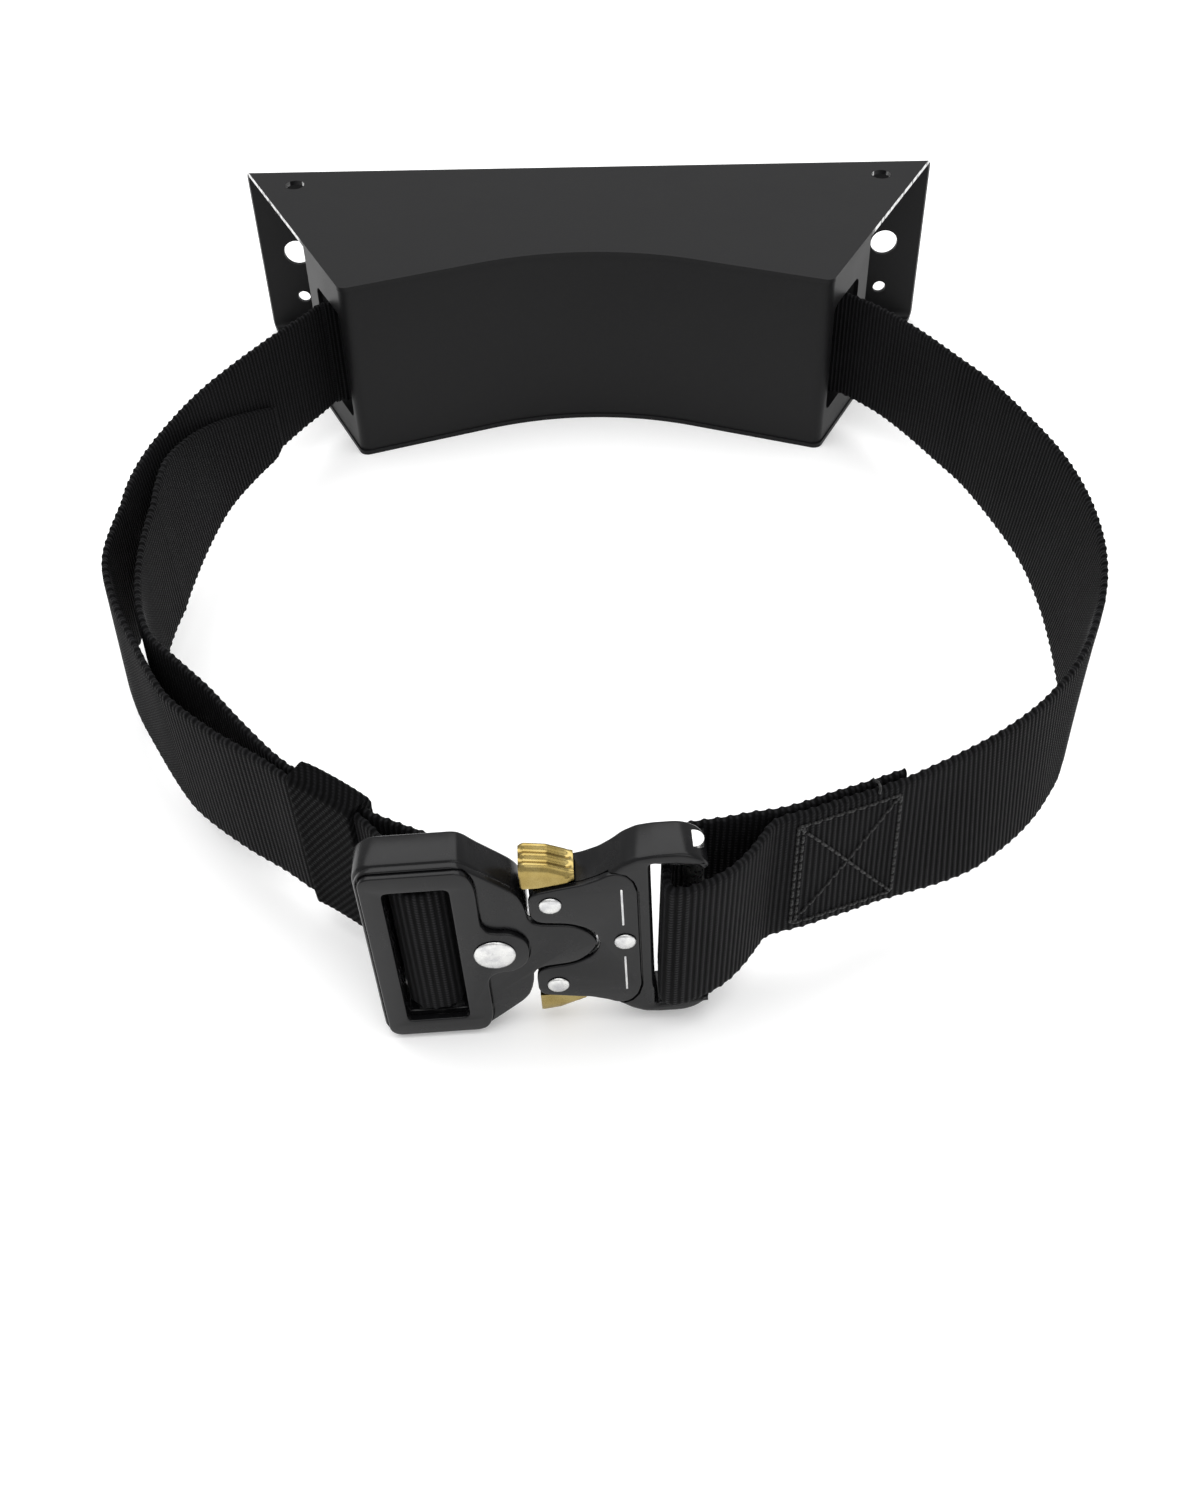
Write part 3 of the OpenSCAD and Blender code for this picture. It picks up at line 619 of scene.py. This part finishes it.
tail_strap = band("webbing_free_end", free_path, cut=TAIL_CUT)
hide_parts("strap_free_end")
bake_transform(tail_strap)

# %% [markdown]
# The keeper is a short flat sleeve of finer webbing, sewn into a ring round both layers.
# Its weave runs on the slant.


# %% The keeper sleeve
def rounded_box(half_d, half_h, r):
    """Points round a box with rounded corners, close enough together to carry ribs."""
    corners = []
    for cx, cy, start in ((half_d - r, half_h - r, 0), (r - half_d, half_h - r, 90),
                          (r - half_d, r - half_h, 180), (half_d - r, r - half_h, 270)):
        for k in range(5):
            a = math.radians(start + 22.5 * k)
            corners.append((cx + r * math.cos(a), cy + r * math.sin(a)))
    full = []
    for a, b in zip(corners, corners[1:] + corners[:1]):
        parts = max(1, round(math.dist(a, b) / 1.6))
        for k in range(parts):
            full.append((a[0] + (b[0] - a[0]) * k / parts, a[1] + (b[1] - a[1]) * k / parts))
    return full


def sleeve_ring(name, step=0.4):
    """A hollow sleeve round both layers of webbing, with an open middle."""
    middle = resample(spline(beside(keeper_run, -(WEB_THICK + LAYER_GAP) / 2), 12), step)[5:-5]
    inside = WEB_THICK + LAYER_GAP / 2 + KEEPER_CLEAR
    bm = bmesh.new()
    uv = bm.loops.layers.uv.new("UV")
    flat, skins = {}, []
    for wall in (0.0, KEEPER_WALL):
        outline = rounded_box(inside + wall, WEB_WIDTH / 2 + KEEPER_CLEAR + wall, 0.5 + wall)
        rows = []
        for i, p in enumerate(middle):
            normal = heading(middle, i)
            hem = 0.05 * max(0, 1 - min(i, len(middle) - 1 - i) / 2)
            row = []
            for d, h in outline:
                wave = 0.5 - 0.5 * math.cos(2 * math.pi * (step * i + SLEEVE_SLANT * h) / SLEEVE_RIB)
                swell = 1 - (0.2 * wave / max(abs(d), 1) + hem if wall else 0)
                v = bm.verts.new(placed_on_edge(p, normal, d * swell, h))
                flat[v] = (step * i * MM, (h + d) * MM)
                row.append(v)
            rows.append(row)
        skin(bm, rows)
        skins.append(rows)
    for end in (0, -1):
        edges = []
        for rows in skins:
            ring = rows[end]
            edges += [bm.edges.get(pair) for pair in zip(ring, ring[1:] + ring[:1])]
        bmesh.ops.bridge_loops(bm, edges=edges)
    unroll(bm, uv, flat)
    return as_object(name, bm, sleeve)


keeper = sleeve_ring("keeper_sleeve")
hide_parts("strap_keeper")
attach(keeper, "tongue_half")
print("keeper faces:", len(keeper.data.polygons))

# %% [markdown]
# The folded end of the strap is sewn to the strap with a box and a cross in heavy thread.
# Each stitch is a short arc of thread that dips into the webbing at both ends. One
# end of thread was left long.


# %% Stitches
def tube(bm, uv, points, radius, sides=6):
    """A thin round thread through the points, added to the mesh."""
    rows = []
    for i, p in enumerate(points):
        u = (points[min(len(points) - 1, i + 1)] - points[max(0, i - 1)]).normalized()
        side = u.orthogonal().normalized()
        rise = u.cross(side)
        row = []
        for k in range(sides):
            a = 2 * math.pi * k / sides
            row.append(bm.verts.new(p + radius * (math.cos(a) * side + math.sin(a) * rise)))
        rows.append(row)
    for i, (a, b) in enumerate(zip(rows, rows[1:])):
        for k in range(sides):
            f = bm.faces.new((a[k], a[(k + 1) % sides], b[(k + 1) % sides], b[k]))
            f.smooth = True
            for corner in f.loops:
                corner[uv].uv = (i * 0.0007, k / sides)
    bm.faces.new(list(reversed(rows[0])))
    bm.faces.new(rows[-1])


sewn_line = resample(spline([near(a, b) for a, b in sewn_outer], 24), 0.1)


def on_sewn(s, h, lift):
    """A point on the sewn zone's outer face, s along it from its far end."""
    i = min(len(sewn_line) - 2, max(1, round(s / 0.1)))
    u = (sewn_line[i + 1] - sewn_line[i - 1]).normalized()
    return placed_on_edge(sewn_line[i], Vector((u.y, -u.x)), -(WEB_THICK / 2 + lift), h)


def seam(bm, uv, start, end, pitch=2.9):
    """A row of stitches from one place on the sewn zone to another."""
    a, b = Vector(start), Vector(end)
    count = max(1, round((b - a).length / pitch))
    for k in range(count):
        p, q = a.lerp(b, (k + 0.08) / count), a.lerp(b, (k + 0.92) / count)
        points = []
        for j in range(7):
            m = p.lerp(q, j / 6)
            points.append(on_sewn(m.x, m.y, 0.30 * math.sin(math.pi * j / 6) - 0.12))
        tube(bm, uv, points, 0.33 * MM)


bm = bmesh.new()
uv = bm.loops.layers.uv.new("UV")
long = len(sewn_line) * 0.1
x0, x1, high = 3.0, long - 3.0, 15.5
for a, b in (((x0, -high), (x0, high)), ((x1, -high), (x1, high)), ((x0, high), (x1, high)),
             ((x0, -high), (x1, -high)), ((x0, -high), (x1, high)), ((x0, high), (x1, -high)),
             ((x1 - 1.2, -high), (x1 - 1.2, high))):
    seam(bm, uv, a, b)
root = on_sewn(9, 18.2, 0.1)
loose = [root + Vector(v) * MM for v in
         ((0, 0, 0), (0.1, 0.1, 1.1), (0, 0.2, 2.2), (-0.5, 0.1, 3.4), (-1.3, 0, 4.4), (-1.9, 0, 4.9))]
tube(bm, uv, loose, 0.3 * MM)
bmesh.ops.recalc_face_normals(bm, faces=bm.faces)
stitching = as_object("box_stitching", bm, thread_black)
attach(stitching, "bracket_and_socket")
print("sewn zone", round(long, 1), "mm,", len(stitching.data.polygons), "thread faces")

# %% [markdown]
# ## The buckle
#
# It is cast and stamped, so it is made of plates and blocks with rounded edges. Each is an
# outline with its holes, drawn on the buckle's own plane and given its depth. They
# are the same outlines as the solids', with the casting's radii added.

# %% Making plates and blocks
BUCKLE = (Matrix.Translation(Vector((0, -REACH, BUCKLE_Z)) * MM) @ Matrix.Rotation(TURN, 4, "Z")
          @ Matrix.Rotation(-ROLL, 4, "Y") @ Matrix.Rotation(math.pi / 2, 4, "X") @ Matrix.Scale(MM, 4))


def both(upper):
    """An outline from its upper half; the lower half is its mirror image."""
    return list(upper) + [(x, -y) for x, y in reversed(upper) if y > 0.01]


def arc(cx, cy, r, start, end, n=10):
    out = []
    for k in range(n + 1):
        a = math.radians(start + (end - start) * k / n)
        out.append((cx + r * math.cos(a), cy + r * math.sin(a)))
    return out


def soften(outline, r, n=5):
    """The outline with each corner rounded off."""
    out = []
    last = len(outline)
    for i in range(last):
        a, b, c = (Vector(outline[(i + k) % last]) for k in (-1, 0, 1))
        u, v = (a - b), (c - b)
        if u.length < 1e-6 or v.length < 1e-6 or u.angle(v) > math.radians(176):
            out.append(tuple(b))
            continue
        cut = min(r, 0.45 * u.length, 0.45 * v.length)
        p, q = b + u.normalized() * cut, b + v.normalized() * cut
        for k in range(n + 1):
            t = k / n
            out.append(tuple((1 - t) ** 2 * p + 2 * t * (1 - t) * b + t * t * q))
    return out


def bends(outline):
    """The outline without points on its straight runs, which hide its direction."""
    out = []
    last = len(outline)
    for i in range(last):
        a, b, c = (Vector(outline[(i + k) % last]) for k in (-1, 0, 1))
        if abs((b - a).cross(c - b)) > 1e-5:
            out.append(tuple(b))
    return out


def solid(outlines, low, high, edge, grow=0.0, rounds=3):
    """A closed mesh: outlines, the first outside and the rest holes, from low to high."""
    curve = bpy.data.curves.new("outline", "CURVE")
    curve.dimensions = "2D"
    curve.fill_mode = "BOTH"
    for outline in map(bends, outlines):
        line = curve.splines.new("POLY")
        line.points.add(len(outline) - 1)
        for point, (x, y) in zip(line.points, outline):
            point.co = (x, y, 0, 1)
        line.use_cyclic_u = True
    curve.bevel_depth = edge
    curve.bevel_resolution = rounds
    curve.offset = grow - edge
    curve.extrude = (high - low) / 2 - edge
    o = bpy.data.objects.new("outline", curve)
    bpy.context.scene.collection.objects.link(o)
    seen = o.evaluated_get(bpy.context.evaluated_depsgraph_get())
    mesh = bpy.data.meshes.new_from_object(seen)
    bpy.data.objects.remove(o)
    bpy.data.curves.remove(curve)
    bm = bmesh.new()
    bm.from_mesh(mesh)
    bpy.data.meshes.remove(mesh)
    bmesh.ops.remove_doubles(bm, verts=bm.verts, dist=0.0005)
    bmesh.ops.recalc_face_normals(bm, faces=bm.faces)
    bmesh.ops.translate(bm, verts=bm.verts, vec=(0, 0, (low + high) / 2))
    return bm


def merged(parts):
    """One mesh made of several."""
    whole = bmesh.new()
    for bm in parts:
        mesh = bpy.data.meshes.new("part")
        bm.to_mesh(mesh)
        bm.free()
        whole.from_mesh(mesh)
        bpy.data.meshes.remove(mesh)
    return whole


def carve(o, cutters):
    """Cuts the cutters' shapes out of the object, whose own parts may overlap."""
    knives = [as_object("cutter", bm, buckle_black) for bm in cutters]
    for knife in knives:
        cut = o.modifiers.new("cut", "BOOLEAN")
        cut.operation = "DIFFERENCE"
        cut.solver = "EXACT"
        cut.object = knife
        cut.use_self = True
    seen = o.evaluated_get(bpy.context.evaluated_depsgraph_get())
    mesh = bpy.data.meshes.new_from_object(seen)
    o.modifiers.clear()
    whole = o.data
    o.data = mesh
    bpy.data.meshes.remove(whole)
    mesh.name = o.name
    for knife in knives:
        bpy.data.objects.remove(knife)


def piece(name, parts, finish, body, slot, *nodes, cutters=(), sharp=38):
    """Joins the parts, cuts them and puts them in place on the buckle as one object."""
    o = as_object(name, merged(parts), finish)
    if cutters:
        carve(o, cutters)
    mesh = o.data
    mesh.transform(BUCKLE)
    for polygon in mesh.polygons:
        polygon.use_smooth = True
    mesh.set_sharp_from_angle(angle=math.radians(sharp))
    mesh.materials.clear()
    mesh.materials.append(finish)
    if nodes:
        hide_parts(*nodes)
    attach(o, body)
    print(name, len(mesh.polygons), "faces")
    return o


def block(x0, x1, y0, y1, z0, z1):
    """A plain cutter, used only to cut others."""
    bm = bmesh.new()
    bmesh.ops.create_cube(bm, size=1)
    bmesh.ops.scale(bm, verts=bm.verts, vec=(x1 - x0, y1 - y0, z1 - z0))
    bmesh.ops.translate(bm, verts=bm.verts, vec=((x0 + x1) / 2, (y0 + y1) / 2, (z0 + z1) / 2))
    return bm


# %% [markdown]
# The tongue half is a deep casting with a window for the webbing. Its front face runs out
# into two wings and the tongue, and a raised cover with a round nose lies over it.
# The edges of the casting's front are stepped, which gives the two bright lines along
# its rim.

# %% Tongue half
h = FRAME_HALF
wings = [(-26, h), (-24.6, h - 0.3), (-23.2, h - 1.3), (-20.8, h - 3.9), (-16.8, h - 7.6),
         (-14.2, h - 10.1), (-12.9, h - 12), (-12.1, h - 14.4), (-FRAME_RIGHT - 0.2, h - 17),
         (-FRAME_RIGHT, h - 19.5)]
r = FRAME_ROUND
body_edge = soften(both([(-FRAME_LEFT, 0)] + arc(r - FRAME_LEFT, h - r, r, 180, 90)
                        + wings + [(-FRAME_RIGHT, 0)]), 1.2)


def notch(d):
    """The edge of the notch in the socket's plate, or of the tongue inside it."""
    w, t = NOTCH_HALF - d, NOTCH_TIP - d
    x = -FRAME_RIGHT
    line = [(x + 0.8 - d, w + 2.6), (x + 1.6 - d, w + 1.3), (-8.4 - 0.7 * d, w + 0.4),
            (-6.4 - 0.3 * d, w), (-4.1 - 0.1 * d, w - 0.3), (-1.4, w - 1.1), (t - 2.2, w - 3),
            (t - 0.6, w - 5.3), (t, 0)]
    return [tuple(p) for p in spline(line, 4)]


front_edge = soften(both([(-FRAME_LEFT + 0.5, 0)] + arc(r - FRAME_LEFT, h - r, r - 0.5, 180, 90)
                         + [(x, y - 0.5) for x, y in wings[:3]] + wings[3:]
                         + notch(NOTCH_GAP + SEAM)), 0.8)
window = soften([(-WINDOW_LEFT, -WINDOW_HALF), (WINDOW_WIDTH - WINDOW_LEFT, -WINDOW_HALF),
                 (WINDOW_WIDTH - WINDOW_LEFT, WINDOW_HALF), (-WINDOW_LEFT, WINDOW_HALF)], 1.6)
left = -FRAME_LEFT + 1.4
top = h - 1.3
cover_edge = soften(both([(left, 0)] + arc(left + 3, top - 3, 3, 180, 90)
                         + [tuple(p) for p in spline(
                             [(-25.4, top), (-23.8, top - 0.6), (-22.6, top - 2.2), (-21.8, top - 5),
                              (-21.6, top - 8), (-21.6, 11.8), (-21.3, 9.4), (-20.2, 7.7), (-18.2, 6.9),
                              (-15.9, 6.6), (-13.8, 5.4), (-12.2, 3.1), (-11.7, 0)], 4)]), 0.5)
piece("tongue_casting",
      [solid([body_edge, window], 0, FACE - 1.3, 1.0),
       solid([front_edge, window], FACE - 1.8, FACE, 0.45)],
      buckle_black, "tongue_half", "black_buckle", "tongue_frame",
      cutters=(solid([cover_edge], FACE - 0.8, FACE + 3, 0.01, grow=SEAM + 0.1, rounds=0),))
piece("raised_cover", [solid([cover_edge, window], FACE - 0.82, FACE + COVER, 0.4)],
      buckle_black, "tongue_half", "black_buckle", "tongue_cover")

# %% [markdown]
# The socket is one casting too: a shallow tray for the tongue and the levers, and two arms
# with a bar between them for the sewn strap. A stamped plate closes the tray. It has
# two bright lines scored in it beside its rivet.

# %% Socket half
m = MOUTH_HALF
socket_edge = [(-MOUTH, m - 2.2), (-MOUTH + 0.8, m - 0.5), (-MOUTH + 2.2, m + 0.2), (-4.5, m + 1.1),
               (1, m + 2.1), (4.7, m + 3.6)]
arms = [(7.5, ARM_HALF - 4.4), (10, ARM_HALF - 2.1), (13, ARM_HALF - 0.5), (16.5, ARM_HALF)]
lug = arc(SOCKET_END - 7.8, ARM_HALF - 7.8, 7.8, 90, 22)
outside = soften(both([(-MOUTH, 0)] + socket_edge + arms + lug
                      + [(SLOT_LEFT, SOCKET_HALF), (SLOT_LEFT, 0)]), 0.9)
plate_end = [(6.4, m + 4.6), (8.2, m + 5), (10.2, m + 4.1), (11.7, m + 2), (PLATE_END, m - 1.5),
             (PLATE_END, 0)]
plate_seat = both([(-MOUTH, 0)] + socket_edge + plate_end)
plate_edge = soften(both(notch(0)[::-1] + [(-MOUTH, NOTCH_HALF + 4)] + socket_edge + plate_end), 0.7)
seat = FACE - PLATE
piece("socket_casting", [solid([outside], 0, FACE, 1.1, rounds=4)],
      buckle_black, "bracket_and_socket", "black_buckle", "socket_housing",
      cutters=(solid([plate_seat], seat, FACE + 3, 0.01, grow=SEAM + 0.05, rounds=0),
               block(-MOUTH - 3, 4.7, -40, 40, seat, FACE + 3),
               block(-MOUTH - 3, 6.7, -16.3, 16.3, TONGUE_LOW - 0.3, FACE + 3),
               block(-MOUTH - 3, -0.5, -40, 40, TONGUE_LOW - 0.3, FACE + 3)))
piece("socket_plate", [solid([plate_edge], seat, FACE, 0.42)],
      buckle_black, "bracket_and_socket", "black_buckle", "socket_front_plate")
lines = []
for side in (-1, 1):
    ends = sorted((side * 5.6, side * 17.8))
    lines.append(solid([soften([(8.95, ends[0]), (9.4, ends[0]), (9.4, ends[1]), (8.95, ends[1])], 0.2)],
                       FACE - 0.2, FACE + 0.04, 0.03, rounds=1))
piece("scored_lines", lines, zinc, "bracket_and_socket", "bright_steel")

# %% [markdown]
# Rivets hold the plates and carry the levers. Their heads are pressed to low domes.


# %% Rivet heads
def dome(x, y, z, radius, height, shank, sides=48):
    """A rivet head and the shank under it, turned round its own axis."""
    under, neck = 0.15, radius * 0.5
    profile = [(0, -shank), (neck, -shank), (neck, under)]
    profile += [(radius * a, b) for a, b in (
        (0.96, under), (1, 0.25 * height), (0.99, 0.4 * height), (0.93, 0.6 * height),
        (0.8, 0.82 * height), (0.55, 0.95 * height), (0.25, height), (0, height))]
    bm = bmesh.new()
    line = [bm.verts.new((a, 0, b)) for a, b in profile]
    edges = [bm.edges.new(pair) for pair in zip(line, line[1:])]
    bmesh.ops.spin(bm, geom=line + edges, cent=(0, 0, 0), axis=(0, 0, 1), angle=2 * math.pi, steps=sides)
    bmesh.ops.remove_doubles(bm, verts=bm.verts, dist=0.0005)
    bmesh.ops.recalc_face_normals(bm, faces=bm.faces)
    bmesh.ops.translate(bm, verts=bm.verts, vec=(x, y, z))
    return bm


piece("large_rivet", [dome(-BIG_RIVET, 0, FACE + COVER, 4.6, 0.95, 9)], zinc, "tongue_half",
      "bright_steel", "tongue_rivet")
for name, x, y, solid_name in (("socket_rivet", MIDDLE_RIVET, 0, "middle_rivet"),
                               ("upper_pivot", -PIVOT_LEFT, PIVOT_HEIGHT, "upper_lever_rivet"),
                               ("lower_pivot", -PIVOT_LEFT, -PIVOT_HEIGHT, "lower_lever_rivet")):
    piece(name, [dome(x, y, FACE, 2.45, 0.8, 8)], zinc, "bracket_and_socket", "bright_steel", solid_name)

# %% [markdown]
# Each lever is a flat arm inside the socket, with a thumb tab bent over outside. The tab
# is high at the mouth, falls away along the buckle and has three ridges for grip.


# %% Levers
TAB_LOW, TAB_HIGH, RIDGES, RIDGE_DEPTH = 1.2, 9.2, 3, 0.8
TAB_FOOT = [(-12.2, 19.2), (-8.4, 19.2), (-4.5, 19.9), (0.7, 21.0), (1.2, 21.3)]
TAB_CREST = [(-12.2, 25.7), (-10.9, 26.2), (-6.2, 25.4), (-1.5, 23.1), (0.3, 22.4), (1.2, 21.9)]


def tab_section(u, start, end):
    """The points round the tab at one place along the buckle."""
    from_start = min(1.0, (u - start) / 0.8)
    from_end = min(1.0, (end - u) / 1.6)
    pull = 0.35 * (1 - from_start) ** 2
    fade = from_start ** 0.5 * smooth(from_end)
    foot = lookup(u, TAB_FOOT) + pull
    crest = lookup(u, TAB_CREST) - pull
    z0 = TAB_LOW + pull + 0.5 * (1 - from_end)
    z1 = TAB_HIGH - pull - 0.5 * (1 - from_end)
    row = [(u, foot, z0), (u, (foot + crest) / 2, z0)]
    for j in range(31):
        t = j / 30
        groove = 0.5 + 0.5 * math.cos(2 * math.pi * RIDGES * t)
        round_off = 0.9 * (1 - min(1.0, min(t, 1 - t) / 0.12)) ** 2
        row.append((u, crest - RIDGE_DEPTH * groove * fade - round_off, z0 + (z1 - z0) * t))
    return row + [(u, (foot + crest) / 2, z1), (u, foot, z1)]


def tab(start, end, count=46):
    """The thumb tab of the upper lever, lofted along the buckle."""
    bm = bmesh.new()
    rings = []
    for i in range(count + 1):
        u = start + (end - start) * i / count
        rings.append([bm.verts.new(p) for p in tab_section(u, start, end)])
    skin(bm, rings)
    bm.faces.new(list(reversed(rings[0])))
    bm.faces.new(rings[-1])
    bmesh.ops.recalc_face_normals(bm, faces=bm.faces)
    return bm


def lever(name, node_name, body, side, start, end):
    """A lever: its eye, its hooked arm, the neck through the socket's side and its tab."""
    x, y = -PIVOT_LEFT, PIVOT_HEIGHT
    arm = [(x, y + 3), (-1.4, 15), (1.4, 13), (5.8, 13), (5.8, 9.3), (0.2, 9.3), (x, y - 3.4)]
    neck = [(x - 3.4, y), (x + 3, y), (x + 3, 20), (x - 3.4, 20)]
    flat = [arc(x, y, 3.4, 0, 350, 35), soften(arm, 0.5), soften(neck, 0.3)]
    parts = [solid([outline], TONGUE_LOW, TONGUE_LOW + TONGUE_THICK, 0.15) for outline in flat]
    parts.append(tab(start, end))
    for bm in parts:
        bmesh.ops.scale(bm, verts=bm.verts, vec=(1, side, 1))
        if side < 0:
            bmesh.ops.reverse_faces(bm, faces=bm.faces)
    piece(name, parts, brass, body, "brass", node_name)


lever("upper_thumb_lever", "upper_lever", "upper_lever_body", 1, -12.2, -0.6)
lever("lower_thumb_lever", "lower_lever", "lower_lever_body", -1, -10.6, -0.2)

# %% [markdown]
# A short coil spring behind each arm pushes the lever shut. It gets shorter as the arm turns
# towards the wall of its bay.


# %% Lever springs
SPRING_RADIUS, SPRING_TURNS, SPRING_KEEPS = 1.1, 4.5, 0.44


def coil(name, node_name, side, count=90):
    """A lever's spring, coiled from its foot to its top."""
    middle = TONGUE_LOW + TONGUE_THICK / 2
    points = []
    for k in range(count + 1):
        a = 2 * math.pi * SPRING_TURNS * k / count
        y = SPRING_FOOT + 0.25 + (SPRING_TOP - SPRING_FOOT - 0.5) * k / count
        x, z = SPRING_X + SPRING_RADIUS * math.cos(a), middle + SPRING_RADIUS * math.sin(a)
        points.append(BUCKLE @ Vector((x, side * y, z)))
    bm = bmesh.new()
    tube(bm, bm.loops.layers.uv.new("UV"), points, 0.22 * MM, 8)
    bmesh.ops.recalc_face_normals(bm, faces=bm.faces)
    o = as_object(name, bm, zinc)
    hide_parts(node_name)
    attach(o, "bracket_and_socket")
    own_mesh(o)
    print(name, len(o.data.polygons), "faces")


coil("upper_coil", "upper_spring", 1)
coil("lower_coil", "lower_spring", -1)

# %% [markdown]
# The steel tongue and the two bars are mostly hidden. They are the solids themselves,
# plated.

# %% Hidden steel
for name in ("tongue_plate", "adjuster_bar", "socket_bar"):
    o = node[name]
    o.data.materials.clear()
    o.data.materials.append(zinc)
    bevel = o.modifiers.new("edges", "BEVEL")
    bevel.width = 0.25 * MM
    bevel.segments = 2
    bevel.limit_method = "ANGLE"
    bevel.angle_limit = math.radians(40)
print("solids still shown:", sorted(o.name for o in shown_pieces() if o.name in node))

# %% [markdown]
# ## The stage and the light
#
# A white sheet, a large soft light overhead and a plain white surround, as for a
# catalogue picture.

# %% Floor
bm = bmesh.new()
bmesh.ops.create_grid(bm, x_segments=8, y_segments=8, size=4)
floor = as_object("floor", bm, floor_white)
floor.location.z = FLOOR
floor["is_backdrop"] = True


# %% Lights
def softbox(name, place, aim, size, power):
    data = bpy.data.lights.new(name, "AREA")
    data.shape = "RECTANGLE"
    data.size, data.size_y = size
    data.energy = power
    o = bpy.data.objects.new(name, data)
    bpy.context.scene.collection.objects.link(o)
    direction = Vector(aim) - Vector(place)
    o.rotation_euler = direction.to_track_quat("-Z", "Y").to_euler()
    o.location = place
    return o


softbox("overhead", (-0.1, 0.1, 1.6), (0, -0.15, 0), (2.6, 2.4), 42)
softbox("front", (0.5, -1.1, 0.7), (0, -0.2, 0), (0.8, 0.6), 2)

world = bpy.data.worlds.new("surround")
bpy.context.scene.world = world
world.use_nodes = True
tree = world.node_tree
path = tree.nodes.new("ShaderNodeLightPath")
seen = tree.nodes.new("ShaderNodeBackground")
seen.inputs["Color"].default_value = (1, 1, 1, 1)
seen.inputs["Strength"].default_value = 1.0
lit = tree.nodes["Background"]
lit.inputs["Color"].default_value = (1, 1, 1, 1)
lit.inputs["Strength"].default_value = 0.55
choose = tree.nodes.new("ShaderNodeMixShader")
tree.links.new(path.outputs["Is Camera Ray"], choose.inputs[0])
tree.links.new(lit.outputs[0], choose.inputs[1])
tree.links.new(seen.outputs[0], choose.inputs[2])
tree.links.new(choose.outputs[0], tree.nodes["World Output"].inputs[0])
bpy.context.scene.view_settings.view_transform = "Standard"
